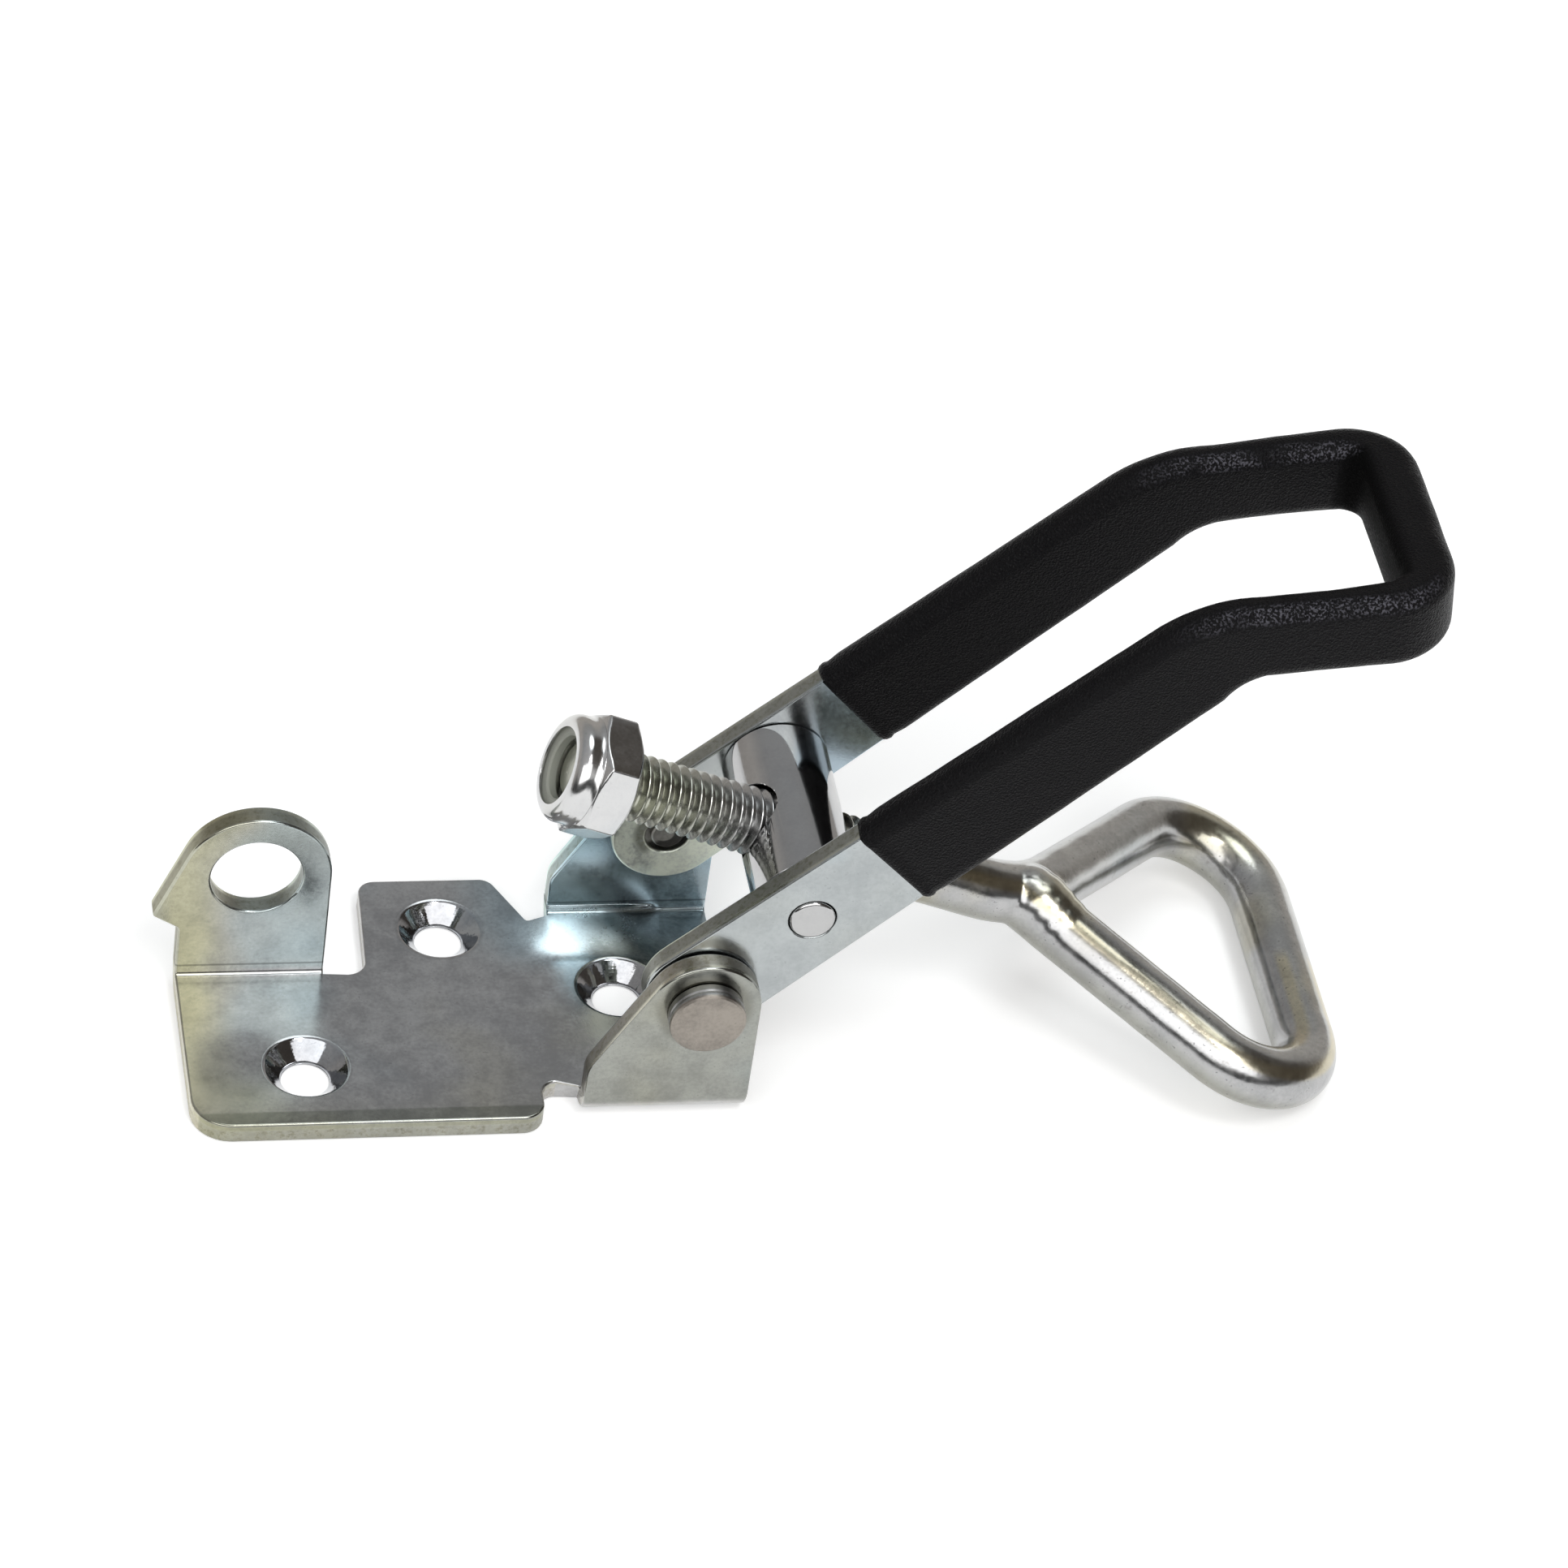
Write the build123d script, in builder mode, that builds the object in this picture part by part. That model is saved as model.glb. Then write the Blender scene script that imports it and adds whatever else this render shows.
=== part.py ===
"""Over centre toggle latch: folded base, double lever with a coated grip, and an adjustable loop hook.

Frame: X runs from the padlock ear to the hook, Y across the latch and Z up. The origin lies on the
underside of the base, below the pivot axis and midway between the two pivot ears. Millimetres.
"""

import os
from math import acos, asin, atan2, cos, degrees, hypot, radians, sin, tan

from build123d import *

os.makedirs("parts", exist_ok=True)

# ---------------------------------------------------------------- base, one folded sheet
SHEET = 2.0                    # thickness of the sheet
BEND_INSIDE = 1.0              # inside radius of every fold
BASE_LEFT = -43.3              # left edge of the base
BASE_FRONT = -14.6             # front edge of the base
FRONT_LEFT_ROUND = 3.5
FRONT_RIGHT = -12.8            # right end of the front edge, where the relief of the front ear starts
FRONT_RIGHT_ROUND = 2.0
RELIEF_ROUND = 1.3             # corner of the relief beside the front ear

PIVOT_HEIGHT = 13.0            # pivot axis above the underside
EAR_SPREAD = 26.5              # over the outsides of the two pivot ears
EAR_LEFT = -9.5                # left edge of the pivot ears
EAR_SHOULDER = 5.9             # height where that edge starts to lean in
EAR_SHOULDER_ROUND = 3.0
EAR_RADIUS = 4.9               # round top of the pivot ears

TAB_LEFT = -26.5               # left edge of the rear tab
TAB_LEAN = 0.5                 # how far that edge leans in by the rear edge
TAB_REAR = 15.8                # rear edge of the tab
TAB_RIGHT = -14.2              # right end of the rear edge
TAB_ROUND = 1.5
TAB_FLANK_END = -11.4          # where the slanting right flank meets the fold of the rear ear
NOTCH_BOTTOM = 3.9             # bottom of the notch between the tab and the padlock ear
NOTCH_ROUND = 1.7

LOCK_RIGHT = -30.25            # right edge of the padlock ear
LOCK_FACE = 4.25               # front face of the padlock ear
LOCK_HOLE_DIA = 8.0
LOCK_HOLE_X = -36.8
LOCK_HOLE_HEIGHT = 13.3
LOCK_NOSE = (-45.6, 9.0)       # tip of the blunt nose on its left edge
LOCK_NOSE_BLUNT = 0.3
LOCK_NOSE_ROOT = 7.5           # height where the nose leaves the left edge

SCREW_DIA = 4.2                # clearance for M4 countersunk screws
SCREW_HEAD_DIA = 7.4
SCREW_HEAD_ANGLE = 90
SCREW_PLACES = ((-32.95, -7.55), (-19.35, 9.4), (-4.4, 1.4))

# ---------------------------------------------------------------- lever, one folded strip
LEVER_ANGLE = 43.6             # slope of the arms as modelled
STRIP = 2.0                    # thickness of the strip
ARM_GAP = 0.2                  # running gap between an arm and its ear
ARM_HEIGHT = 10.0              # of the strip at the pivot
ELBOW_HEIGHT = 8.2             # it tapers to this at the dog-leg
ARM_LENGTH = 55.4              # pivot to the dog-leg
HANDLE_HEIGHT = 6.6            # the strip is lower past the dog-leg
HANDLE_TURN = 36.1             # angle of the dog-leg
HANDLE_LENGTH = 19.6           # dog-leg to the end of the strip
HANDLE_ROUND = 5.4             # outside corners of the U
LOWER_ELBOW = 4.0              # rounding of the dog-leg, underneath and on top
UPPER_ELBOW = 8.0

# ---------------------------------------------------------------- vinyl coat on the handle
GRIP_START = 20.4              # pivot to the lower end of the coat
GRIP_SIDE = 0.7                # coat on the faces of the strip
GRIP_EDGE = 0.5                # coat on its edges
GRIP_INNER_END = 2.0           # coat on the inside of the end of the U, where it pools
GRIP_INNER_ROUND = 1.8         # inside corners of the coat
GRIP_SOFT_EDGE = 0.75          # its outer edges are softened by this much

# ---------------------------------------------------------------- rivets
SHANK_DIA = 5.0                # turns in the ear
SHANK_CLEARANCE = 0.05         # all round
HEAD_DIA = 6.7
HEAD_STANDS_OUT = 1.8          # past the outside of the ear
HEAD_GAP = 0.1                 # under the head
HEAD_CHAMFER = 0.25
TENON_DIA = 4.0                # riveted into the arm
TAIL_DIA = 2.9
TAIL_GROOVE = 0.6              # depth of the ring left round the tail

# ---------------------------------------------------------------- cross bar
CROSS_BAR_REACH = 12.0         # pivot axis to the axis of the bar
CROSS_BAR_DIA = 9.4
CROSS_BAR_GAP = 0.1            # between the bar's shoulders and the arms
STUB_DIA = 4.0
STUB_CLEARANCE = 0.07
STUB_STANDS_OUT = 0.15
STUB_CHAMFER = 0.2

# ---------------------------------------------------------------- hook
THREAD_DIA = 6.0               # M6, crest to crest
THREAD_CLEARANCE = 0.09        # in the hole through the cross bar
THREAD_LEFT = -21.5            # threaded end, from the axis of the cross bar
THREAD_RIGHT = 11.0            # end of the thread towards the loop
THREAD_CHAMFER = 0.5
BAR_DIA = 5.6                  # plain bar past the thread
LOOP_REACH = 50.75             # axis of the cross bar to the middle of the loop's end bar
FAR_LEG_START = 23.3           # where the rear leg's line leaves the rod's line
FAR_LEG_ANGLE = 43.7
NEAR_LEG_START = 23.8
NEAR_LEG_ANGLE = 40.0
NECK_BEND = 12.0
FAR_BEND = 7.1
NEAR_BEND = 6.6
WELD_RUN = 7.0                 # last stretch of the front leg, up to the weld
WELD_OVERRUN = 1.6             # how far its blunt end runs past the rod's line
WELD_POINT = 1.8               # length over which the end narrows
WELD_POINT_ANGLE = 35

# ---------------------------------------------------------------- locking nut
NUT_FLATS = 10.0
NUT_FACE = -17.35              # its bearing face, from the axis of the cross bar
NUT_HEX_HEIGHT = 4.1
NUT_HEIGHT = 6.0
NUT_TURN = -13.8               # turn of the hexagon about the rod
NUT_CHAMFER = 0.55             # height of the cone at each end of the hexagon
NUT_CORNER_CUT = 0.15          # the bearing face is this much smaller than the flats, all round
COLLAR_DIA = 9.6
COLLAR_LIP_DIA = 7.3           # opening left by the crimped lip
COLLAR_LIP = 0.35              # thickness of the lip
COLLAR_ROUND = 1.2
RING_DIA = 8.3
RING_BORE = 5.5
RING_HEIGHT = 1.3

# ---------------------------------------------------------------- worked out from the sizes above
FOLD_OUTSIDE = BEND_INSIDE + SHEET
EAR_OUTSIDE = EAR_SPREAD / 2
EAR_INSIDE = EAR_OUTSIDE - SHEET
EAR_FOLD = EAR_INSIDE - BEND_INSIDE                 # the ears start to fold up here
LOCK_FOLD = LOCK_FACE - BEND_INSIDE
LOCK_RADIUS = LOCK_RIGHT - LOCK_HOLE_X
ARM_OUTSIDE = EAR_INSIDE - ARM_GAP
ARM_INSIDE = ARM_OUTSIDE - STRIP
HANDLE_INNER_ROUND = HANDLE_ROUND - STRIP
CROSS_BAR_X = CROSS_BAR_REACH * cos(radians(LEVER_ANGLE))
CROSS_BAR_Z = PIVOT_HEIGHT + CROSS_BAR_REACH * sin(radians(LEVER_ANGLE))
# the rod slopes down until the loop's end bar lies on the same surface as the base
ROD_SLOPE = degrees(asin((CROSS_BAR_Z - BAR_DIA / 2) / LOOP_REACH))

ELBOW_ROUNDS = (0, LOWER_ELBOW, 0, 0, UPPER_ELBOW, 0)  # in the order of side_outline

SIDE = Plane.XZ
ARM_PLANE = Plane(
    origin=(0, 0, PIVOT_HEIGHT),
    x_dir=(cos(radians(LEVER_ANGLE)), 0, sin(radians(LEVER_ANGLE))),
    z_dir=(0, -1, 0),
)
HANDLE_SLOPE = LEVER_ANGLE - HANDLE_TURN
ROD_DIRECTION = Vector(cos(radians(ROD_SLOPE)), 0, -sin(radians(ROD_SLOPE)))
CROSS_BAR_PLANE = Plane(origin=(CROSS_BAR_X, 0, CROSS_BAR_Z), x_dir=(1, 0, 0), z_dir=(0, -1, 0))
LOOP_PLANE = Plane(
    origin=CROSS_BAR_PLANE.origin,
    x_dir=ROD_DIRECTION,
    z_dir=(sin(radians(ROD_SLOPE)), 0, cos(radians(ROD_SLOPE))),
)


def tangent_angle(centre, radius, point):
    """Angle, seen from the centre, where a straight edge from the point touches the circle."""
    across = point[0] - centre[0]
    up = point[1] - centre[1]
    return (degrees(atan2(up, across)) - degrees(acos(radius / hypot(across, up)))) % 360


def on_circle(centre, radius, angle):
    """Point of a circle at an angle in degrees."""
    return (centre[0] + radius * cos(radians(angle)), centre[1] + radius * sin(radians(angle)))


def rod_plane(along):
    """Plane across the rod, facing its threaded end, at a distance from the cross bar's axis."""
    origin = CROSS_BAR_PLANE.origin + ROD_DIRECTION * along
    return Plane(origin=origin, x_dir=(0, -1, 0), z_dir=ROD_DIRECTION * -1)


def side_outline(start, coat, end):
    """Corners of the lever's side view from a start along the arm to an end past the dog-leg, with
    this much coat on its edges. The arm's edges draw together towards the dog-leg."""
    turn = radians(HANDLE_TURN)
    pivot_half = ARM_HEIGHT / 2 + coat
    handle_half = HANDLE_HEIGHT / 2 + coat
    taper = (ELBOW_HEIGHT - ARM_HEIGHT) / 2 / ARM_LENGTH

    def handle_edge(side, past):
        """Point on the handle's upper (1) or lower (-1) edge, this far past the dog-leg."""
        return (
            ARM_LENGTH + past * cos(turn) + side * handle_half * sin(turn),
            -past * sin(turn) + side * handle_half * cos(turn),
        )

    def elbow(side):
        """Where the arm's edge meets the handle's edge."""
        gap = handle_half * cos(turn) - pivot_half - taper * ARM_LENGTH
        past = (side * gap - taper * handle_half * sin(turn)) / (sin(turn) + side * taper * cos(turn))
        return handle_edge(side, past)

    start_half = pivot_half + taper * start
    return [
        (start, -start_half), elbow(-1), handle_edge(-1, end), handle_edge(1, end), elbow(1),
        (start, start_half),
    ]


def inside_outline(start, end):
    """Side view of the room between the arms, higher than the strip all along."""
    turn = radians(HANDLE_TURN)
    half = ARM_HEIGHT
    elbow_in = half * tan(turn / 2)
    return [
        (start, -half),
        (ARM_LENGTH - elbow_in, -half),
        (ARM_LENGTH + end * cos(turn) - half * sin(turn), -end * sin(turn) - half * cos(turn)),
        (ARM_LENGTH + end * cos(turn) + half * sin(turn), -end * sin(turn) + half * cos(turn)),
        (ARM_LENGTH + elbow_in, half),
        (start, half),
    ]


# ================================================================ base plate
with BuildPart() as base_plate:
    # rear pivot ear: its fold, then its upright
    with BuildSketch(Plane.YZ.offset(EAR_LEFT)):
        with Locations((EAR_FOLD, FOLD_OUTSIDE)):
            Circle(FOLD_OUTSIDE)
            Circle(BEND_INSIDE, mode=Mode.SUBTRACT)
            Rectangle(FOLD_OUTSIDE, FOLD_OUTSIDE, align=(Align.MIN, Align.MAX), mode=Mode.INTERSECT)
    extrude(amount=EAR_RADIUS - EAR_LEFT)
    with BuildSketch(SIDE.offset(-EAR_OUTSIDE)) as ear_side:
        pivot = (0, PIVOT_HEIGHT)
        lean_angle = tangent_angle(pivot, EAR_RADIUS, (EAR_LEFT, EAR_SHOULDER))
        with BuildLine():
            CenterArc(pivot, EAR_RADIUS, 0, lean_angle)
            Polyline(
                on_circle(pivot, EAR_RADIUS, lean_angle),
                (EAR_LEFT, EAR_SHOULDER),
                (EAR_LEFT, FOLD_OUTSIDE),
                (EAR_RADIUS, FOLD_OUTSIDE),
                (EAR_RADIUS, PIVOT_HEIGHT),
            )
        make_face()
        fillet(ear_side.vertices().group_by(Axis.X)[0].sort_by(Axis.Y)[-1], EAR_SHOULDER_ROUND)
        with Locations(pivot):
            Circle(SHANK_DIA / 2 + SHANK_CLEARANCE, mode=Mode.SUBTRACT)
    extrude(amount=SHEET)
    mirror(about=SIDE)

    # padlock ear: its fold, then its upright with the blunt nose
    with BuildSketch(Plane.YZ.offset(BASE_LEFT)):
        with Locations((LOCK_FOLD, FOLD_OUTSIDE)):
            Circle(FOLD_OUTSIDE)
            Circle(BEND_INSIDE, mode=Mode.SUBTRACT)
            Rectangle(FOLD_OUTSIDE, FOLD_OUTSIDE, align=(Align.MIN, Align.MAX), mode=Mode.INTERSECT)
    extrude(amount=LOCK_RIGHT - BASE_LEFT)
    with BuildSketch(SIDE.offset(-LOCK_FACE - SHEET)) as lock_side:
        hole = (LOCK_HOLE_X, LOCK_HOLE_HEIGHT)
        nose_angle = tangent_angle(hole, LOCK_RADIUS, LOCK_NOSE)
        with BuildLine():
            CenterArc(hole, LOCK_RADIUS, 0, nose_angle)
            Polyline(
                on_circle(hole, LOCK_RADIUS, nose_angle),
                LOCK_NOSE,
                (BASE_LEFT, LOCK_NOSE_ROOT),
                (BASE_LEFT, FOLD_OUTSIDE),
                (LOCK_RIGHT, FOLD_OUTSIDE),
                (LOCK_RIGHT, LOCK_HOLE_HEIGHT),
            )
        make_face()
        fillet(lock_side.vertices().sort_by(Axis.X)[0], LOCK_NOSE_BLUNT)
        with Locations(hole):
            Circle(LOCK_HOLE_DIA / 2, mode=Mode.SUBTRACT)
    extrude(amount=SHEET)

    # flat of the base, with the relief beside the front ear, the rear tab and the notch
    with BuildSketch(Plane.XY):
        with BuildLine():
            FilletPolyline(
                (BASE_LEFT, BASE_FRONT),
                (FRONT_RIGHT, BASE_FRONT),
                (FRONT_RIGHT, -EAR_FOLD),
                (EAR_RADIUS, -EAR_FOLD),
                (EAR_RADIUS, EAR_FOLD),
                (TAB_FLANK_END, EAR_FOLD),
                (TAB_RIGHT, TAB_REAR),
                (TAB_LEFT + TAB_LEAN, TAB_REAR),
                (TAB_LEFT, NOTCH_BOTTOM),
                (LOCK_RIGHT, NOTCH_BOTTOM),
                (LOCK_RIGHT, LOCK_FOLD),
                (BASE_LEFT, LOCK_FOLD),
                radius=(
                    FRONT_LEFT_ROUND, FRONT_RIGHT_ROUND, RELIEF_ROUND, 0, 0, 0,
                    TAB_ROUND, TAB_ROUND, NOTCH_ROUND, 0, 0, 0,
                ),
                close=True,
            )
        make_face()
    extrude(amount=SHEET)
    with Locations(*((x, y, SHEET) for x, y in SCREW_PLACES)):
        CounterSinkHole(
            SCREW_DIA / 2, SCREW_HEAD_DIA / 2, depth=2 * SHEET, counter_sink_angle=SCREW_HEAD_ANGLE
        )

base_plate.part.label = "base_plate"
export_step(base_plate.part, "parts/base_plate.step")

# ================================================================ lever
with BuildPart() as lever:
    # the strip's side view over the full width, with round ends about the pivot
    with BuildSketch(ARM_PLANE):
        with BuildLine():
            FilletPolyline(side_outline(0, 0, HANDLE_LENGTH), radius=ELBOW_ROUNDS, close=True)
        make_face()
        Circle(ARM_HEIGHT / 2)
    extrude(amount=ARM_OUTSIDE, both=True)
    across_strip = Axis((0, 0, 0), (-sin(radians(HANDLE_SLOPE)), 0, cos(radians(HANDLE_SLOPE))))
    fillet(lever.edges().filter_by(across_strip), HANDLE_ROUND)
    # the room between the arms, up to the end of the U
    with BuildSketch(ARM_PLANE):
        with BuildLine():
            Polyline(*inside_outline(-ARM_HEIGHT, HANDLE_LENGTH - STRIP), close=True)
        make_face()
    extrude(amount=ARM_INSIDE, both=True, mode=Mode.SUBTRACT)
    inside_corners = [
        edge for edge in lever.edges().filter_by(across_strip)
        if abs(abs(edge.center().Y) - ARM_INSIDE) < 0.01
    ]
    fillet(inside_corners, HANDLE_INNER_ROUND)
    # holes for the rivets and for the stubs of the cross bar
    with BuildSketch(ARM_PLANE):
        Circle(TENON_DIA / 2)
        with Locations((CROSS_BAR_REACH, 0)):
            Circle(STUB_DIA / 2 + STUB_CLEARANCE)
    extrude(amount=ARM_OUTSIDE, both=True, mode=Mode.SUBTRACT)

lever.part.label = "lever"
export_step(lever.part, "parts/lever.step")

# ================================================================ vinyl coat
with BuildPart() as grip_sleeve:
    with BuildSketch(ARM_PLANE):
        with BuildLine():
            FilletPolyline(
                side_outline(GRIP_START, GRIP_EDGE, HANDLE_LENGTH + GRIP_SIDE),
                radius=ELBOW_ROUNDS,
                close=True,
            )
        make_face()
    extrude(amount=ARM_OUTSIDE + GRIP_SIDE, both=True)
    fillet(grip_sleeve.edges().filter_by(across_strip).sort_by(Axis.X)[-2:], HANDLE_ROUND + GRIP_SIDE)
    gap_end = HANDLE_LENGTH - STRIP - GRIP_INNER_END
    gap_half = ARM_INSIDE - GRIP_SIDE
    with BuildSketch(ARM_PLANE):
        with BuildLine():
            Polyline(*inside_outline(GRIP_START - ARM_HEIGHT, gap_end), close=True)
        make_face()
    extrude(amount=gap_half, both=True, mode=Mode.SUBTRACT)
    gap_corners = [
        edge for edge in grip_sleeve.edges().filter_by(across_strip)
        if abs(abs(edge.center().Y) - gap_half) < 0.01
    ]
    fillet(gap_corners, GRIP_INNER_ROUND)
    # soft edges all the way round, apart from the square lower ends
    skins = grip_sleeve.faces().filter_by(
        lambda face: abs(face.normal_at().dot(across_strip.direction)) > 0.7
    )
    lower_ends = grip_sleeve.faces().filter_by(
        lambda face: abs(face.normal_at().dot(ARM_PLANE.x_dir)) > 0.999
    )
    rim = [
        edge for edge in skins.edges()
        if edge not in lower_ends.edges() and sum(edge in skin.edges() for skin in skins) == 1
    ]
    chamfer(rim, GRIP_SOFT_EDGE)
    add(lever.part, mode=Mode.SUBTRACT)

grip_sleeve.part.label = "grip_sleeve"
export_step(grip_sleeve.part, "parts/grip_sleeve.step")

# ================================================================ rivets
tail_plane = Plane(origin=(0, 0, PIVOT_HEIGHT), x_dir=(0, 1, 0), z_dir=(1, 0, 0))
head_start = EAR_OUTSIDE + HEAD_GAP
head_end = EAR_OUTSIDE + HEAD_STANDS_OUT
with BuildPart() as rivet_rear:
    with BuildSketch(tail_plane):
        with BuildLine():
            Polyline(
                (ARM_INSIDE, 0),
                (ARM_INSIDE, TAIL_DIA / 2),
                (ARM_INSIDE + TAIL_GROOVE, TAIL_DIA / 2),
                (ARM_INSIDE + TAIL_GROOVE, TENON_DIA / 2),
                (ARM_OUTSIDE, TENON_DIA / 2),
                (ARM_OUTSIDE, SHANK_DIA / 2),
                (head_start, SHANK_DIA / 2),
                (head_start, HEAD_DIA / 2),
                (head_end - HEAD_CHAMFER, HEAD_DIA / 2),
                (head_end, HEAD_DIA / 2 - HEAD_CHAMFER),
                (head_end, 0),
                close=True,
            )
        make_face()
    revolve(axis=Axis((0, 0, PIVOT_HEIGHT), (0, 1, 0)))

rivet_rear.part.label = "rivet_rear"
export_step(rivet_rear.part, "parts/rivet_rear.step")

with BuildPart() as rivet_front:
    add(mirror(rivet_rear.part, about=SIDE, mode=Mode.PRIVATE))

rivet_front.part.label = "rivet_front"
export_step(rivet_front.part, "parts/rivet_front.step")

# ================================================================ cross bar
with BuildPart() as cross_bar:
    with BuildSketch(CROSS_BAR_PLANE):
        Circle(STUB_DIA / 2)
    extrude(amount=ARM_OUTSIDE + STUB_STANDS_OUT, both=True)
    chamfer(cross_bar.edges().filter_by(GeomType.CIRCLE), STUB_CHAMFER)
    with BuildSketch(CROSS_BAR_PLANE):
        Circle(CROSS_BAR_DIA / 2)
    extrude(amount=ARM_INSIDE - CROSS_BAR_GAP, both=True)
    with BuildSketch(rod_plane(0)):
        Circle(THREAD_DIA / 2 + THREAD_CLEARANCE)
    extrude(amount=CROSS_BAR_DIA, both=True, mode=Mode.SUBTRACT)

cross_bar.part.label = "cross_bar"
export_step(cross_bar.part, "parts/cross_bar.step")

# ================================================================ hook rod
far_corner = (LOOP_REACH, (LOOP_REACH - FAR_LEG_START) * tan(radians(FAR_LEG_ANGLE)))
near_corner = (LOOP_REACH, -(LOOP_REACH - NEAR_LEG_START) * tan(radians(NEAR_LEG_ANGLE)))
weld_start = (
    NEAR_LEG_START + WELD_RUN * cos(radians(NEAR_LEG_ANGLE)),
    -WELD_RUN * sin(radians(NEAR_LEG_ANGLE)),
)
with BuildPart() as hook_rod:
    # the loop, bent from the plain bar
    with BuildLine(LOOP_PLANE) as loop_line:
        FilletPolyline(
            (THREAD_RIGHT, 0),
            (FAR_LEG_START, 0),
            far_corner,
            near_corner,
            weld_start,
            radius=(NECK_BEND, FAR_BEND, NEAR_BEND),
        )
    loop_path = loop_line.wire()
    with BuildSketch(Plane(loop_path @ 0, z_dir=loop_path % 0)):
        Circle(BAR_DIA / 2)
    sweep(path=loop_path)
    # its blunt end, laid against the neck and welded
    straight = WELD_RUN + WELD_OVERRUN - WELD_POINT
    with BuildSketch(Plane(loop_path @ 1, z_dir=loop_path % 1)):
        Circle(BAR_DIA / 2)
    extrude(amount=straight)
    with BuildSketch(Plane(loop_path @ 1 + loop_path % 1 * straight, z_dir=loop_path % 1)):
        Circle(BAR_DIA / 2)
    extrude(amount=WELD_POINT, taper=WELD_POINT_ANGLE)
    # the threaded length
    with BuildSketch(rod_plane(THREAD_RIGHT)):
        Circle(THREAD_DIA / 2)
    extrude(amount=THREAD_RIGHT - THREAD_LEFT)
    chamfer(hook_rod.edges().filter_by(GeomType.CIRCLE).filter_by(
        lambda edge: abs(edge.radius - THREAD_DIA / 2) < 0.001).sort_by(Axis.X)[0], THREAD_CHAMFER)

hook_rod.part.label = "hook_rod"
export_step(hook_rod.part, "parts/hook_rod.step")

# ================================================================ locking nut
nut_plane = rod_plane(NUT_FACE)
nut_axis = Axis(nut_plane.origin, nut_plane.z_dir)
# half sections of the nut and its ring: radius across, height above the bearing face up
nut_section = Plane(origin=nut_plane.origin, x_dir=nut_plane.x_dir, z_dir=LOOP_PLANE.z_dir * -1)
corner_radius = NUT_FLATS / 2 / cos(radians(30))
collar_radius = COLLAR_DIA / 2
collar_bend = (collar_radius - COLLAR_ROUND, NUT_HEIGHT - COLLAR_ROUND)  # centre of the crimp's round
ring_top = NUT_HEIGHT - COLLAR_LIP
ring_seat = ring_top - RING_HEIGHT
with BuildPart() as stop_nut:
    with BuildSketch(nut_plane):
        RegularPolygon(NUT_FLATS / 2, 6, major_radius=False, rotation=NUT_TURN)
    extrude(amount=NUT_HEX_HEIGHT + NUT_CHAMFER)
    # both ends of the hexagon are turned to a cone
    with BuildSketch(nut_section):
        with BuildLine():
            Polyline(
                (0, 0),
                (NUT_FLATS / 2 - NUT_CORNER_CUT, 0),
                (corner_radius, NUT_CHAMFER),
                (corner_radius, NUT_HEX_HEIGHT - NUT_CHAMFER),
                (collar_radius, NUT_HEX_HEIGHT + NUT_CHAMFER),
                (0, NUT_HEX_HEIGHT + NUT_CHAMFER),
                close=True,
            )
        make_face()
    revolve(axis=nut_axis, mode=Mode.INTERSECT)
    # collar, crimped over the ring
    with BuildSketch(nut_section):
        with BuildLine():
            Polyline(
                (0, 0),
                (THREAD_DIA / 2 + NUT_CORNER_CUT, 0),
                (THREAD_DIA / 2 + NUT_CORNER_CUT, NUT_HEX_HEIGHT),
                (collar_radius, NUT_HEX_HEIGHT),
                (collar_radius, NUT_HEIGHT - COLLAR_ROUND),
                on_circle(collar_bend, COLLAR_ROUND, 45),
                (collar_radius - COLLAR_ROUND, NUT_HEIGHT),
                (0, NUT_HEIGHT),
                close=True,
            )
        make_face()
    revolve(axis=nut_axis)
    # thread, seat of the ring and the opening in the lip
    with BuildSketch(nut_section):
        with BuildLine():
            Polyline(
                (0, 0),
                (THREAD_DIA / 2, 0),
                (THREAD_DIA / 2, ring_seat),
                (RING_DIA / 2, ring_seat),
                (RING_DIA / 2, ring_top),
                (COLLAR_LIP_DIA / 2, ring_top),
                (COLLAR_LIP_DIA / 2, NUT_HEIGHT),
                (0, NUT_HEIGHT),
                close=True,
            )
        make_face()
    revolve(axis=nut_axis, mode=Mode.SUBTRACT)

stop_nut.part.label = "stop_nut"
export_step(stop_nut.part, "parts/stop_nut.step")

with BuildPart() as nylon_ring:
    with BuildSketch(nut_plane.offset(ring_seat)):
        Circle(RING_DIA / 2)
        Circle(RING_BORE / 2, mode=Mode.SUBTRACT)
    extrude(amount=RING_HEIGHT)

nylon_ring.part.label = "nylon_ring"
export_step(nylon_ring.part, "parts/nylon_ring.step")
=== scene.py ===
"""Looks of an over centre toggle latch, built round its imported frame.

The frame is in metres, and sizes below are in millimetres. X runs from the padlock ear to the hook, Y
across the latch and Z up from the underside of the base."""

from collections import namedtuple
from math import asin, atan2, cos, hypot, pi, radians, sin, tan

import bpy
from mathutils import Matrix, Vector, noise


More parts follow.
